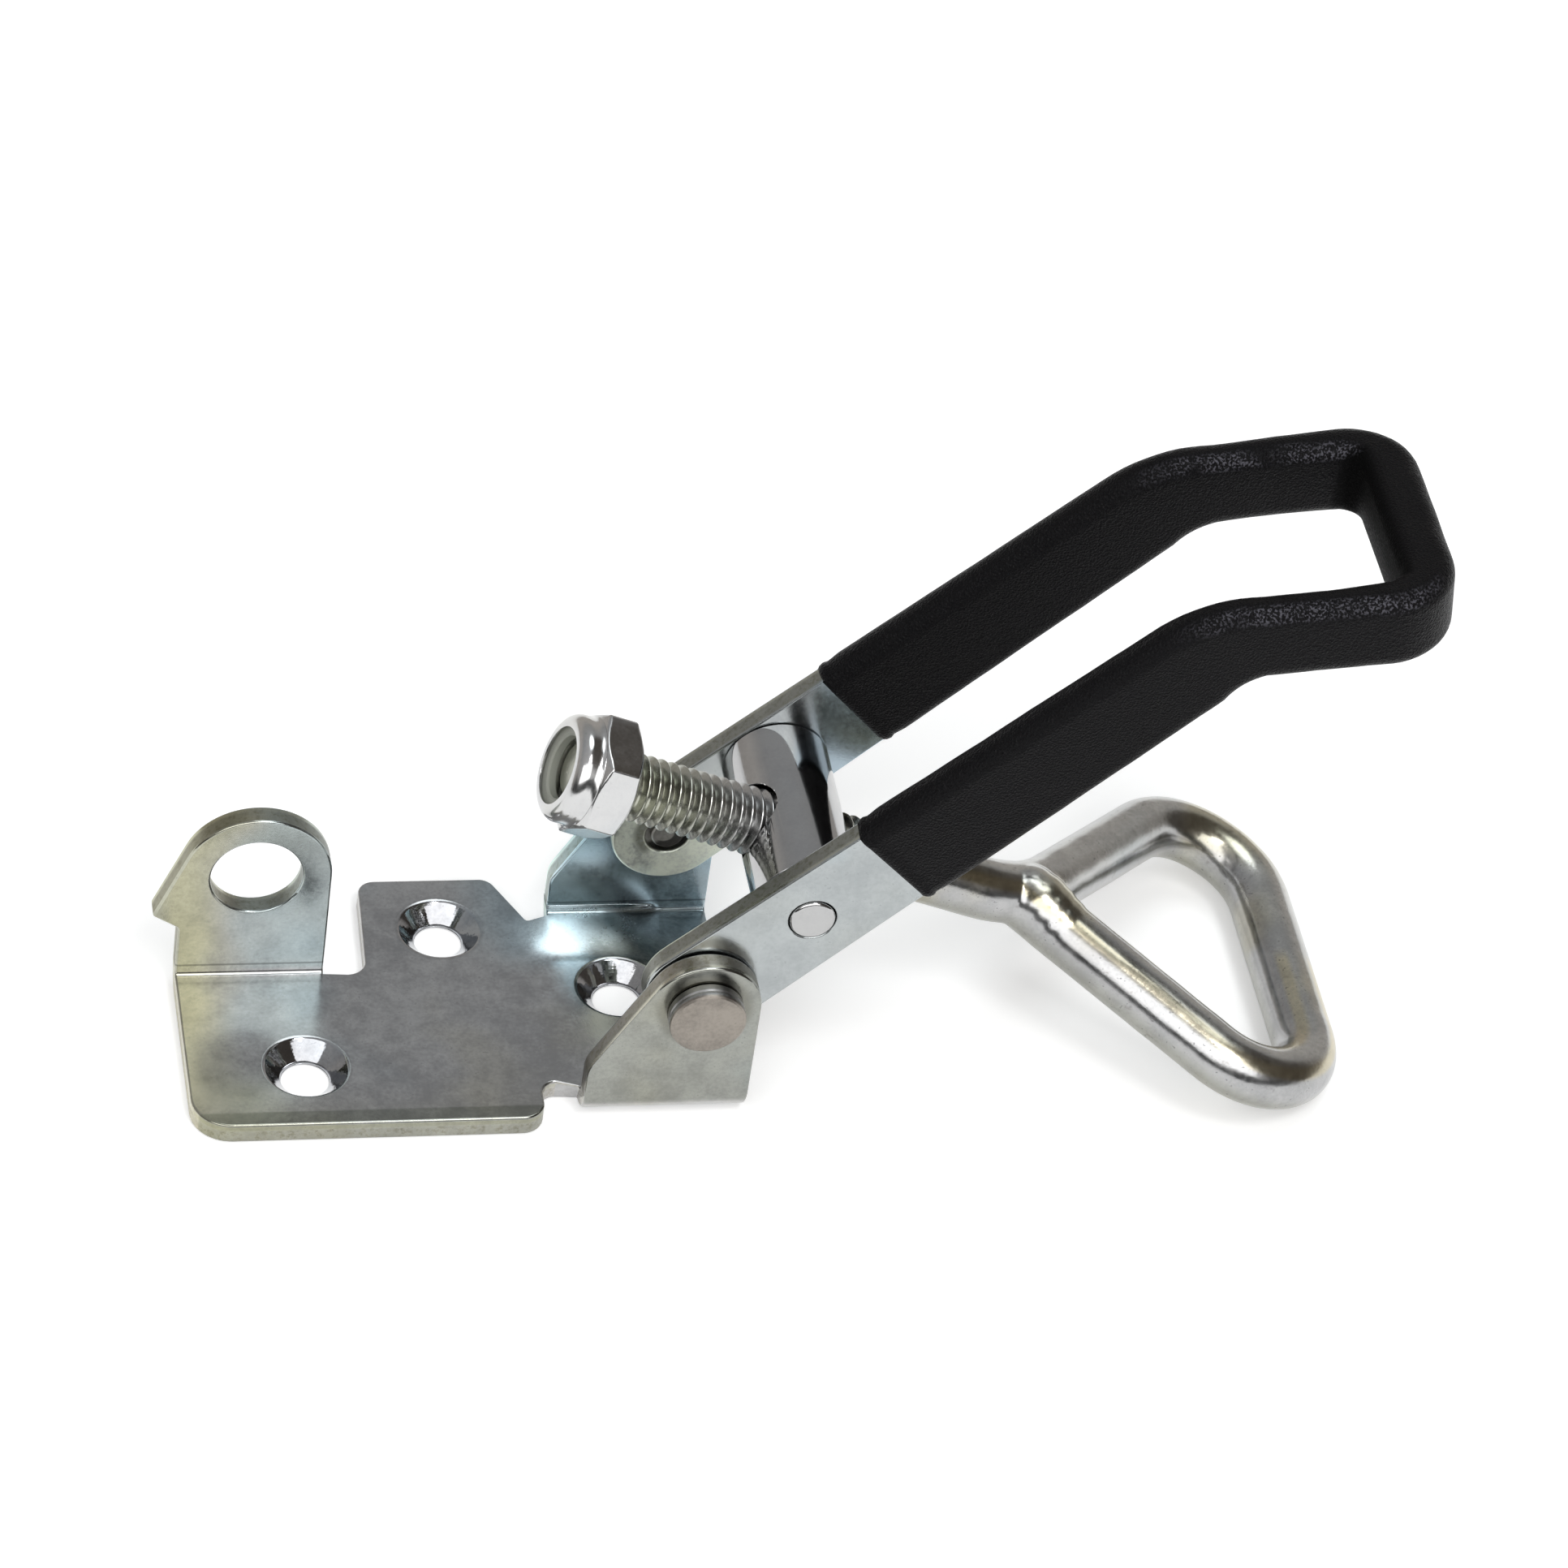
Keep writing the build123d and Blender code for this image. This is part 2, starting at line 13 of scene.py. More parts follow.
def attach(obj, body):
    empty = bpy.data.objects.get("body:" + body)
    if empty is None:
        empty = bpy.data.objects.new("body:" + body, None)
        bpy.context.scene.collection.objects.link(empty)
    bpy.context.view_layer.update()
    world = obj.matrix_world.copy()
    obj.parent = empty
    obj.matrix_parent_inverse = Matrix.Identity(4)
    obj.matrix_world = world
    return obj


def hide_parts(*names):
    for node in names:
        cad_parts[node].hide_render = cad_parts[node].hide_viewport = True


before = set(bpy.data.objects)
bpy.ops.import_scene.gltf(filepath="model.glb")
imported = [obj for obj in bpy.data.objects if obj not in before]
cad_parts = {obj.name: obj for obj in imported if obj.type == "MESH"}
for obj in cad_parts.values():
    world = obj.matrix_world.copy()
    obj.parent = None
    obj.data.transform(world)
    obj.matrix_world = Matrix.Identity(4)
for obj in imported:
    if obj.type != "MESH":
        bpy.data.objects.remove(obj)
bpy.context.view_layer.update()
MM = 0.001

# ---------------------------------------------------------------- camera
AZIMUTH = radians(-15.234)
ELEVATION = radians(40.982)
ROLL = radians(9.123)
DISTANCE = 573.82
TARGET = Vector((15.45, 29.97, 0))
PICTURE_WIDTH = 1932           # pixels
FOCAL_LENGTH = 7647.78         # in the same pixels
SENSOR = 36.0

back = Vector((sin(AZIMUTH) * cos(ELEVATION), -cos(AZIMUTH) * cos(ELEVATION), sin(ELEVATION)))
level = Vector((cos(AZIMUTH), sin(AZIMUTH), 0))
upright = back.cross(level)
camera_x = level * cos(ROLL) + upright * sin(ROLL)
camera_y = upright * cos(ROLL) - level * sin(ROLL)
camera_data = bpy.data.cameras.new("camera")
camera_data.sensor_width = SENSOR
camera_data.lens = SENSOR * FOCAL_LENGTH / PICTURE_WIDTH
camera_data.clip_start = 0.01
camera_data.clip_end = 20
camera = bpy.data.objects.new("camera", camera_data)
bpy.context.scene.collection.objects.link(camera)
camera_turn = Matrix((camera_x, camera_y, back)).transposed().to_4x4()
camera.matrix_world = Matrix.Translation((TARGET + back * DISTANCE) * MM) @ camera_turn
bpy.context.scene.camera = camera
bpy.context.scene.view_settings.view_transform = "Standard"

# ---------------------------------------------------------------- sizes that pieces and finishes share
SHEET = 2.0                    # thickness of the base and of the lever's strip
FOLD_INSIDE = 1.0              # inside radius of the base's folds in the frame
PIVOT_HEIGHT = 13.0            # pivot axis above the underside
BASE_LEFT = -43.3              # left edge of the base
EAR_INSIDE = 11.25             # faces of the pivot ears, from the middle of the latch
EAR_OUTSIDE = EAR_INSIDE + SHEET
LOCK_FACE = 4.25               # front face of the padlock ear
LOCK_RIGHT = -30.25            # its right edge
COUNTERSINK = 3.7              # radius at the top
SCREW_PLACES = ((-32.95, -7.55), (-19.35, 9.4), (-4.4, 1.4))
LEVER_ANGLE = radians(43.6)    # slope of the arms
HANDLE_ANGLE = radians(7.5)    # slope past the dog-leg
ARM_LENGTH = 55.4              # pivot to the dog-leg
HANDLE_LENGTH = 19.6           # dog-leg to the end of the strip
ARM_MIDDLE = 10.05             # middle of an arm's strip, from the middle of the latch
CROSS_BAR_REACH = 12.0         # pivot axis to the axis of the cross bar
CROSS_BAR_X = CROSS_BAR_REACH * cos(LEVER_ANGLE)
CROSS_BAR_Z = PIVOT_HEIGHT + CROSS_BAR_REACH * sin(LEVER_ANGLE)
ROD_HOLE = 3.3                 # radius of the hole through the cross bar
BAR_RADIUS = 2.8               # of the hook's plain bar
LOOP_REACH = 50.75             # axis of the cross bar to the middle of the loop's end bar
ROD_SLOPE = asin((CROSS_BAR_Z - BAR_RADIUS) / LOOP_REACH)

rod_along = Vector((cos(ROD_SLOPE), 0, -sin(ROD_SLOPE)))
rod_up = Vector((sin(ROD_SLOPE), 0, cos(ROD_SLOPE)))
rearward = Vector((0, 1, 0))
cross_bar_centre = Vector((CROSS_BAR_X, 0, CROSS_BAR_Z))


def placed(origin, x_axis, y_axis, z_axis):
    """Matrix from a piece's own axes, in millimetres, to the frame, in metres."""
    turned = Matrix((x_axis, y_axis, z_axis)).transposed().to_4x4()
    return Matrix.Translation(Vector(origin) * MM) @ turned @ Matrix.Scale(MM, 4)


# ---------------------------------------------------------------- shader maths
class Value:
    """A shader socket that adds Math nodes when it is used in an expression."""

    def __init__(self, tree, socket):
        self.tree = tree
        self.socket = socket

    def _math(self, operation, *others, clamp=False):
        node = self.tree.nodes.new("ShaderNodeMath")
        node.operation = operation
        node.use_clamp = clamp
        for slot, value in zip(node.inputs, (self, *others)):
            put(self.tree, slot, value)
        return Value(self.tree, node.outputs[0])

    def __add__(self, other):
        return self._math("ADD", other)

    def __mul__(self, other):
        return self._math("MULTIPLY", other)

    def __sub__(self, other):
        return self._math("SUBTRACT", other)

    def __rsub__(self, other):
        return (self * -1)._math("ADD", other)

    __radd__ = __add__
    __rmul__ = __mul__

    def clamp(self):
        return self._math("ADD", 0, clamp=True)

    def size(self):
        return self._math("ABSOLUTE")

    def root(self):
        return self._math("SQRT")


def put(tree, slot, value):
    """Links a socket, or sets a number, colour or vector on it."""
    if isinstance(value, Value):
        tree.links.new(value.socket, slot)
    elif isinstance(value, bpy.types.NodeSocket):
        tree.links.new(value, slot)
    else:
        slot.default_value = value


def away(*sides):
    """Distance from a line or point, from the differences along two or three axes."""
    total = sides[0] * sides[0]
    for side in sides[1:]:
        total = total + side * side
    return total.root()


class Nodes:
    """A node tree, with the nodes that finishes and the room have in common."""

    def __init__(self, tree):
        self.tree = tree

    def node(self, kind, settings=None, **values):
        node = self.tree.nodes.new(kind)
        for name, value in (settings or {}).items():
            setattr(node, name, value)
        for name, value in values.items():
            put(self.tree, node.inputs[name.replace("_", " ")], value)
        return node

    def ramp(self, value, low, high, shape="SMOOTHSTEP"):
        """0 to 1 as the value goes from low to high."""
        node = self.node("ShaderNodeMapRange", {"interpolation_type": shape}, Value=value, From_Min=low,
                         From_Max=high)
        return Value(self.tree, node.outputs[0])

    def mix(self, share, first, second, blend="MIX"):
        """Colour from the first to the second as share goes from 0 to 1."""
        node = self.node("ShaderNodeMix", {"data_type": "RGBA", "blend_type": blend})
        for slot, value in ((0, share), (6, first), (7, second)):
            put(self.tree, node.inputs[slot], value)
        return node.outputs[2]

    def along(self, vector, way):
        """How far a vector goes a given way."""
        node = self.node("ShaderNodeVectorMath", {"operation": "DOT_PRODUCT"}, Vector=vector)
        node.inputs[1].default_value = way
        return Value(self.tree, node.outputs["Value"])


class Finish(Nodes):
    """A material with one Principled shader and the nodes that feed it."""

    def __init__(self, name, **sockets):
        self.material = bpy.data.materials.new(name)
        self.material.use_nodes = True
        super().__init__(self.material.node_tree)
        self.shader = self.tree.nodes["Principled BSDF"]
        self.place = self.node("ShaderNodeTexCoord").outputs["Object"]
        self.set(**sockets)

    def set(self, **sockets):
        for name, value in sockets.items():
            put(self.tree, self.shader.inputs[name.replace("_", " ")], value)

    def noise(self, size, detail=3.0, rough=0.5, where=None):
        """Noise from 0 to 1 whose lumps are about this many millimetres across."""
        node = self.node("ShaderNodeTexNoise", Vector=where or self.place, Scale=1 / (size * MM),
                         Detail=detail, Roughness=rough)
        return Value(self.tree, node.outputs[0])

    def axes(self):
        """X, Y and Z of the object in millimetres."""
        split = self.node("ShaderNodeSeparateXYZ", Vector=self.place)
        return [Value(self.tree, output) * (1 / MM) for output in split.outputs]

    def attribute(self, name):
        node = self.node("ShaderNodeAttribute", {"attribute_name": name})
        return Value(self.tree, node.outputs["Fac"])

    def bump(self, height, distance):
        node = self.node("ShaderNodeBump", Height=height, Strength=1.0, Distance=distance * MM)
        self.set(Normal=node.outputs[0])


# ---------------------------------------------------------------- zinc plating
GRAIN = 0.006                  # height of the plating's grain
DARK_CLOUDS = 0.22             # share by which the clouds darken the tone
LIGHT_CLOUDS = 0.18            # and lighten it
BLUISH = (0.84, 0.98, 1.06)
GOLDEN = (1.04, 0.99, 0.80)
PITTED = (0.55, 0.55, 0.56)


class Zinc(Finish):
    """Bright zinc plating on steel, with cloudy tone, fine grain, pits and a bluish or golden cast."""

    def __init__(self, name, tone, rough, blue=0.5, gold=0.3, grain=GRAIN, mottle=0.5, pits=0.4):
        super().__init__(name, Metallic=1.0)
        cloud = self.noise(9, 2)
        blotch = self.noise(2.0, 4, 0.6)
        speck = self.noise(0.35, 2)
        fine = self.noise(0.12, 2)
        dark = tone * (1 - DARK_CLOUDS * mottle)
        light = tone * (1 + LIGHT_CLOUDS * mottle)
        self.cast = self.noise(13, 2)
        self.mottling = cloud * 0.35 + blotch * 0.40 + speck * 0.25
        self.colour = self.mix(self.ramp(self.mottling, 0.36, 0.64), (dark, dark, dark * 1.01, 1),
                               (light, light, light, 1))
        self.wash(self.ramp(self.cast, 0.56, 0.72) * blue, BLUISH)
        self.wash(self.ramp(self.cast, 0.46, 0.30) * gold, GOLDEN)
        self.wash(self.ramp(speck, 0.64, 0.74) * pits, PITTED)
        self.rough = (blotch - 0.5) * 0.16 + (speck - 0.5) * 0.10 + rough
        self.height = fine * 0.5 + speck * 0.5
        self.grain = grain

    def wash(self, share, tint):
        """Multiplies the colour by a tint where share is 1."""
        self.colour = self.mix(share, self.colour, (*tint, 1), "MULTIPLY")

    def done(self):
        self.set(Base_Color=self.colour, Roughness=self.rough)
        self.bump(self.height, self.grain)
        return self.material


def shear(metal, band):
    """Cut edges of the sheet: torn and yellowish inside the band, narrow and bright outside it."""
    edge = metal.attribute("edge")
    cut = metal.ramp(edge, 0.6, 0.9)
    rim = metal.ramp(edge, 0.2, 0.4) - cut
    torn = cut * band
    streak = metal.noise(0.5, 3, 0.7)
    metal.wash(torn, (0.68, 0.66, 0.60))
    metal.wash(torn * metal.ramp(streak, 0.45, 0.7), (0.7, 0.68, 0.62))
    metal.wash(cut - torn, (1.05, 1.03, 0.90))
    metal.rough = metal.rough + torn * 0.22 - rim * 0.06
    metal.height = metal.height + torn * streak * 3
    return torn


# ---------------------------------------------------------------- finish of the base
TORN_DEPTH = 1.25              # the torn part of a cut, in from the inner face of an ear
TORN_FADE = 0.4                # over which it ends
FLAT_TORN_HEIGHT = 1.15        # the torn part, up from the underside of the flat
DRAWN_UP = 2.0                 # rise that the light shows beside the front end of the rear fold
GLARE_MIDDLE = (-7.5, 9.0)       # middle of the highlight painted beside that rise
RIVET_SHADE_REACH = 4.6        # painted shade on the ears reaches this far round the rivets


def shear_base(plate, upright_part):
    """The torn band lies toward the inner face on each ear, and toward the underside on the flat."""
    _, y, z = plate.axes()
    torn_pivot_ear = plate.ramp(y.size(), EAR_INSIDE + TORN_DEPTH + TORN_FADE, EAR_INSIDE + TORN_DEPTH)
    torn_lock_ear = plate.ramp(y, LOCK_FACE + TORN_DEPTH + TORN_FADE, LOCK_FACE + TORN_DEPTH)
    torn_flat = plate.ramp(z, FLAT_TORN_HEIGHT + 0.3, FLAT_TORN_HEIGHT)
    outboard = plate.ramp(y.size(), 8.0, 9.0)
    inboard = plate.ramp(y.size(), 9.0, 8.0)
    torn_ear = (torn_pivot_ear * outboard + torn_lock_ear * inboard).clamp()
    torn = shear(plate, upright_part * torn_ear + (1 - upright_part) * torn_flat)
    plate.wash(torn * (1 - upright_part), (1.70, 1.72, 1.82))


def cloud_base(plate, upright_part):
    """Straw yellow left end, cool padlock ear, blue rear ear, darker front ear and a warmer front edge."""
    x, y, z = plate.axes()
    wobble = (plate.cast - 0.5) * 16
    straw = plate.ramp(x + wobble, BASE_LEFT + 7.3, BASE_LEFT + 0.3)
    lock_ear = upright_part * plate.ramp(x, LOCK_RIGHT + 5.25, LOCK_RIGHT + 2.25)
    right_half = plate.ramp(x, -19, -13)
    rear_face = plate.ramp(y, EAR_INSIDE - 0.45, EAR_INSIDE - 0.15) * plate.ramp(z, 5, 12)
    front_face = plate.ramp(y, 0.35 - EAR_OUTSIDE, 0.05 - EAR_OUTSIDE)
    plate.wash(straw * 0.8, (1.0, 0.97, 0.75))
    plate.wash(lock_ear, (0.93, 0.95, 0.93))
    plate.wash(plate.ramp(x + wobble, -40, -36) * lock_ear * 0.6, (0.87, 1.0, 1.02))
    plate.wash(plate.ramp(y + wobble * 0.5, 3, 11) * right_half, (0.90, 1.05, 1.12))
    plate.wash(rear_face * right_half, (0.95, 1.18, 1.28))
    plate.wash(plate.ramp(y + wobble * 0.5, -9, -15) * 0.4, (1.03, 1.0, 0.88))
    plate.wash(front_face, (0.67, 0.69, 0.655))


def countersink(plate, hole_x, hole_y):
    """Turned bowl of a screw hole, with a darker ring of painted shade round it."""
    x, y, _ = plate.axes()
    out = away(x - hole_x, y - hole_y)
    bowl = plate.ramp(out, COUNTERSINK + 0.15, COUNTERSINK - 0.1)
    painted_shade_ring = plate.ramp(out, COUNTERSINK + 0.45, COUNTERSINK + 0.2) * (1 - bowl)
    by_radius = plate.node("ShaderNodeCombineXYZ", X=out * MM).outputs[0]
    tool_marks = plate.noise(0.16, 1, 0.5, where=by_radius)
    plate.wash(bowl, (0.86, 0.87, 0.90))
    # painted shade on the rim round the bowl
    plate.wash(painted_shade_ring * 0.5, (0.8, 0.8, 0.8))
    plate.rough = plate.rough - bowl * 0.10
    plate.height = plate.height + bowl * tool_marks * 1.2


def work_base(plate, upright_part):
    """Painted shade round the rivets and along the line above the folds, the sheet drawn up at the rear fold,
    and painted highlights beside that fold and on the rear ear's foot.
    """
    x, y, z = plate.axes()
    # painted shade, mottled, round each rivet on the faces of the ears
    painted_shading = plate.ramp(away(x, z - PIVOT_HEIGHT), RIVET_SHADE_REACH, RIVET_SHADE_REACH - 1.1)
    painted_shading = painted_shading * plate.ramp(y.size(), 10.0, 11.0) * plate.ramp(z, 5, 6)
    plate.wash(painted_shading * (plate.mottling + 0.3), (0.62, 0.60, 0.56))
    # painted shade along the line above the folds of the padlock ear and the rear ear
    from_fold_line = (z - SHEET - FOLD_INSIDE - 0.1).size()
    plate.wash(plate.ramp(from_fold_line, 0.16, 0.05) * plate.ramp(y, 3.9, 4.1), (0.55, 0.55, 0.55))
    beside_fold = plate.ramp(x, -14.0, -9.0) * plate.ramp(x, 1.0, -4.5) * (1 - upright_part)
    plate.height = plate.height + plate.ramp(y, 4.6, 13.4) * beside_fold * (DRAWN_UP / GRAIN)
    plate.rough = plate.rough + plate.ramp(y, 4.5, 8.0) * beside_fold * 0.10
    # painted highlight on the flat beside the rear fold
    bright = plate.ramp(away(x - GLARE_MIDDLE[0], y - GLARE_MIDDLE[1]), 6.0, 2.0) * (1 - upright_part)
    plate.wash(bright, (1.55, 1.62, 1.62))
    # painted highlight on the foot of the rear ear
    painted_glare_foot = plate.ramp(away(x + 8.5, (z - 4.0) * 0.8), 5.5, 0.5) * plate.ramp(y, 10.0, 11.0)
    plate.wash(painted_glare_foot * upright_part, (1.7, 1.72, 1.70))


def base_zinc():
    plate = Zinc("zinc plated sheet", 0.445, 0.20, blue=0.3, gold=0.3, mottle=0.8, pits=0.5)
    upright_part = plate.ramp(plate.axes()[2], SHEET + 0.2, SHEET + 0.8)
    shear_base(plate, upright_part)
    cloud_base(plate, upright_part)
    for hole_x, hole_y in SCREW_PLACES:
        countersink(plate, hole_x, hole_y)
    work_base(plate, upright_part)
    return plate.done()


# ---------------------------------------------------------------- finishes of the other metal pieces
def lever_zinc():
    """Cool plating; inside, the ends of the arms are rougher round the rivets and paler with a painted
    highlight, with an arc of painted shade beside each rivet.
    """
    arms = Zinc("zinc plated strip", 0.43, 0.20, blue=0.8, gold=0.1, mottle=0.5)
    x, y, z = arms.axes()
    aside = y.size()
    from_pivot = away(x, z - PIVOT_HEIGHT)
    shear(arms, arms.ramp(aside, ARM_MIDDLE + 0.7, ARM_MIDDLE + 0.4))
    arms.wash(0.8, (0.93, 1.0, 1.01))
    rear_inner_face = arms.ramp(y, 9.6, 9.4) * arms.ramp(y, 8.0, 8.5) * arms.ramp(x, 10, 13)
    arms.wash(rear_inner_face, (0.98, 1.12, 1.25))
    # painted highlight, pale and mottled, on the inner faces of the arms round the rivets; they are rougher
    # there too
    painted_pale_end = arms.ramp(from_pivot, 8.0, 4.6) * arms.ramp(aside, 9.4, 9.2)
    painted_pale_end = painted_pale_end * arms.ramp(arms.mottling, 0.25, 0.55)
    arms.wash(painted_pale_end, (1.75, 1.75, 1.5))
    # painted shade in an arc on one side of each rivet's tail
    painted_shade_arc = arms.ramp(from_pivot + (arms.cast - 0.5) * 2, 3.3, 2.6) * painted_pale_end
    arms.wash(painted_shade_arc * arms.ramp(z - x, 12.0, 13.5), (0.35, 0.34, 0.32))
    arms.rough = arms.rough + painted_pale_end * 0.25
    return arms.done()


def rod_zinc():
    """Rippled bar, with painted shade on its underside, a painted highlight on top and a painted golden
    reflection along the front leg.
    """
    rod = Zinc("zinc plated rod", 0.43, 0.22, blue=0.2, gold=0.9, mottle=0.7, pits=1.0)
    x, y, z = rod.axes()
    above_loop = (z - CROSS_BAR_Z) * cos(ROD_SLOPE) + (x - CROSS_BAR_X) * sin(ROD_SLOPE)
    # painted golden reflection in a line along the front leg
    painted_gold_reflection = rod.ramp(above_loop, 1.7, 2.1) * rod.ramp(above_loop, 2.7, 2.4) * rod.ramp(y, 1, -1)
    rod.height = rod.height + rod.noise(0.9, 2, 0.5) * 1.6
    rod.wash(rod.ramp(rod.noise(1.3, 4, 0.65), 0.60, 0.70) * 0.6, (0.70, 0.68, 0.66))
    # painted shade on the underside of the bar
    rod.wash(rod.ramp(above_loop, 0.5, -1.4), (0.72, 0.72, 0.65))
    # painted highlight on top of the bar
    rod.wash(rod.ramp(above_loop, 1.3, 2.5), (1.18, 1.18, 1.14))
    rod.wash(painted_gold_reflection * 0.7, (1.12, 1.0, 0.70))
    return rod.done()


def thread_zinc():
    """Golden plating that turns olive toward the free end."""
    thread = Zinc("zinc plated thread", 0.42, 0.24, blue=0, gold=1.0, mottle=0.6, pits=0.6)
    toward_nut = thread.ramp(thread.axes()[0] + (thread.mottling - 0.5) * 6, 6, -4)
    thread.wash(toward_nut * 0.6, (0.98, 1.0, 0.76))
    return thread.done()


def rivet_zinc():
    """Dull and reddish on the head; the tail has a dark half ring of painted shadow."""
    rivet = Zinc("dull rivet", 0.325, 0.36, blue=0, gold=0.1, mottle=1.1, pits=0.6)
    x, y, z = rivet.axes()
    aside = y.size()
    from_middle = away(x + 0.3, z - PIVOT_HEIGHT - 0.2) + (rivet.cast - 0.5) * 2
    tail = rivet.ramp(aside, 10.0, 9.8)
    # painted shadow, a dark half ring on one side of the tail
    painted_shadow_crescent = rivet.ramp(from_middle, 0.7, 0.9) * rivet.ramp(x - z, -13.6, -12.8)
    rivet.wash(rivet.ramp(aside, 14.6, 14.8), (0.84, 0.76, 0.67))
    rivet.wash(tail, (0.8, 0.78, 0.72))
    rivet.wash(tail * painted_shadow_crescent, (0.2, 0.2, 0.2))
    return rivet.done()


def bar_zinc():
    return Zinc("zinc plated bar", 0.46, 0.10, blue=0.4, gold=0.1, grain=0.002, mottle=0.25, pits=0.15).done()


def nut_zinc():
    return Zinc("bright zinc plated nut", 0.57, 0.16, blue=0.3, gold=0.3, grain=0.001, mottle=0.3,
                pits=0.2).done()


# ---------------------------------------------------------------- finishes of the plastics
COAT_BLACK = (0.0030, 0.0028, 0.0034, 1)
COAT_SHADE = (0.0005, 0.0005, 0.0005, 1)         # painted shade inside the handle's end, where the coat pooled
COAT_SHEEN = (0.085, 0.083, 0.098, 1)           # painted sheen on the grain's tops along the handle's front ridges
SHEEN_WAY = (-0.09, -0.70, 0.70)                # the way that the ridges with the painted sheen face, between the camera and the front lamp


def nylon():
    ring = Finish("grey nylon", Base_Color=(0.30, 0.31, 0.27, 1), Roughness=0.45)
    ring.bump(ring.noise(0.3, 2), 0.02)
    return ring.material


def vinyl():
    """Pebbled dip coat, with a painted sheen on the ridges of the handle and painted shade inside its end."""
    coat = Finish("black dip coat", Specular_IOR_Level=0.09)
    pebbles = coat.noise(0.21, 1.5, 0.5)
    x, y, _ = coat.axes()
    # painted shade inside the handle's end, where the coat pooled; it is rougher there too
    pooled = coat.ramp(x, 53.2, 54.0) * coat.ramp(x, 56.2, 55.2) * coat.ramp(y.size(), 8.8, 8.0)
    normal = coat.node("ShaderNodeTexCoord").outputs["Normal"]
    # painted sheen where the handle's ridges face the front lamp
    sheen_facing = coat.ramp(coat.along(normal, SHEEN_WAY), 0.78, 0.97) * coat.ramp(x, 34, 42)
    painted_shading = sheen_facing * coat.ramp(pebbles, 0.47, 0.66) * coat.ramp(coat.noise(3.0, 3), 0.30, 0.6)
    rough = (0.40 - coat.ramp(pebbles, 0.50, 0.64) * 0.14 + pooled * 0.5).clamp()
    colour = coat.mix(painted_shading, coat.mix(pooled, COAT_BLACK, COAT_SHADE), COAT_SHEEN)
    coat.set(Base_Color=colour, Roughness=rough)
    coat.bump(pebbles * 0.8 + coat.noise(0.6, 2) * 0.2 + coat.noise(2.5, 3) * 0.3, 0.24)
    return coat.material


# ---------------------------------------------------------------- modelling helpers
MERGE = 1e-4                   # points nearer than this are one, on pieces modelled in millimetres
MERGE_DOUBLES = (bpy.ops.mesh.remove_doubles, {"threshold": MERGE})
OUTWARDS = (bpy.ops.mesh.normals_make_consistent, {"inside": False})


def deselect():
    if bpy.context.object and bpy.context.object.mode != "OBJECT":
        bpy.ops.object.mode_set(mode="OBJECT")
    bpy.ops.object.select_all(action="DESELECT")


def activate(piece):
    deselect()
    piece.select_set(True)
    bpy.context.view_layer.objects.active = piece


def modify(piece, kind, **settings):
    """Adds a modifier and applies it."""
    activate(piece)
    modifier = piece.modifiers.new(kind.lower(), kind)
    for name, value in settings.items():
        setattr(modifier, name, value)
    bpy.ops.object.modifier_apply(modifier=modifier.name)


def in_edit(piece, *steps):
    """Runs operators on all of a piece's mesh in edit mode."""
    activate(piece)
    bpy.ops.object.mode_set(mode="EDIT")
    bpy.ops.mesh.select_all(action="SELECT")
    for step, settings in steps:
        step(**settings)
    bpy.ops.object.mode_set(mode="OBJECT")


def outline(name, points):
    """An edge loop through points in the XZ plane: (distance from the axis, height)."""
    deselect()
    bpy.ops.mesh.primitive_circle_add(vertices=len(points), radius=1)
    piece = bpy.context.object
    piece.name = name
    for vertex, (out, height) in zip(piece.data.vertices, points):
        vertex.co = (out, 0, height)
    return piece


def opened(piece):
    """Takes away the edge that joins the last point of an outline to its first."""
    ends = {0, len(piece.data.vertices) - 1}
    activate(piece)
    bpy.ops.object.mode_set(mode="EDIT")
    bpy.ops.mesh.select_mode(type="EDGE")
    bpy.ops.mesh.select_all(action="DESELECT")
    bpy.ops.object.mode_set(mode="OBJECT")
    for edge in piece.data.edges:
        edge.select = set(edge.vertices) == ends
    bpy.ops.object.mode_set(mode="EDIT")
    bpy.ops.mesh.delete(type="EDGE")
    bpy.ops.mesh.select_mode(type="VERT")
    bpy.ops.object.mode_set(mode="OBJECT")
    return piece


def turned_about_z(piece, steps, **settings):
    """Turns an outline about Z, or winds it where the settings give a pitch."""
    modify(piece, "SCREW", angle=2 * pi, steps=steps, render_steps=steps, axis="Z",
           use_merge_vertices=True, merge_threshold=MERGE, use_smooth_shade=True, **settings)


def lathe(piece):
    """A turned piece."""
    turned_about_z(piece, 96)
    in_edit(piece, MERGE_DOUBLES, OUTWARDS)
    return piece


def wrapped(name, rings):
    """A closed skin through rings that all have the same number of points."""
    deselect()
    around = len(rings[0])
    bpy.ops.mesh.primitive_grid_add(x_subdivisions=around, y_subdivisions=len(rings), size=1)
    piece = bpy.context.object
    piece.name = name
    for row, points in enumerate(rings + rings[:1]):
        for k in range(around + 1):
            piece.data.vertices[row * (around + 1) + k].co = points[k % around]
    in_edit(piece, MERGE_DOUBLES, OUTWARDS)
    return piece


def finish_piece(piece, material, body, replaced=None, place=None, sharp=None):
    """Puts a piece where it belongs, smooths it but for its sharp edges, and gives it its finish."""
    if place is not None:
        piece.data.transform(place)
    if sharp is not None:
        activate(piece)
        bpy.ops.object.shade_smooth_by_angle(angle=radians(sharp))
    piece.data.materials.clear()
    piece.data.materials.append(material)
    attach(piece, body)
    if replaced:
        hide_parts(replaced)


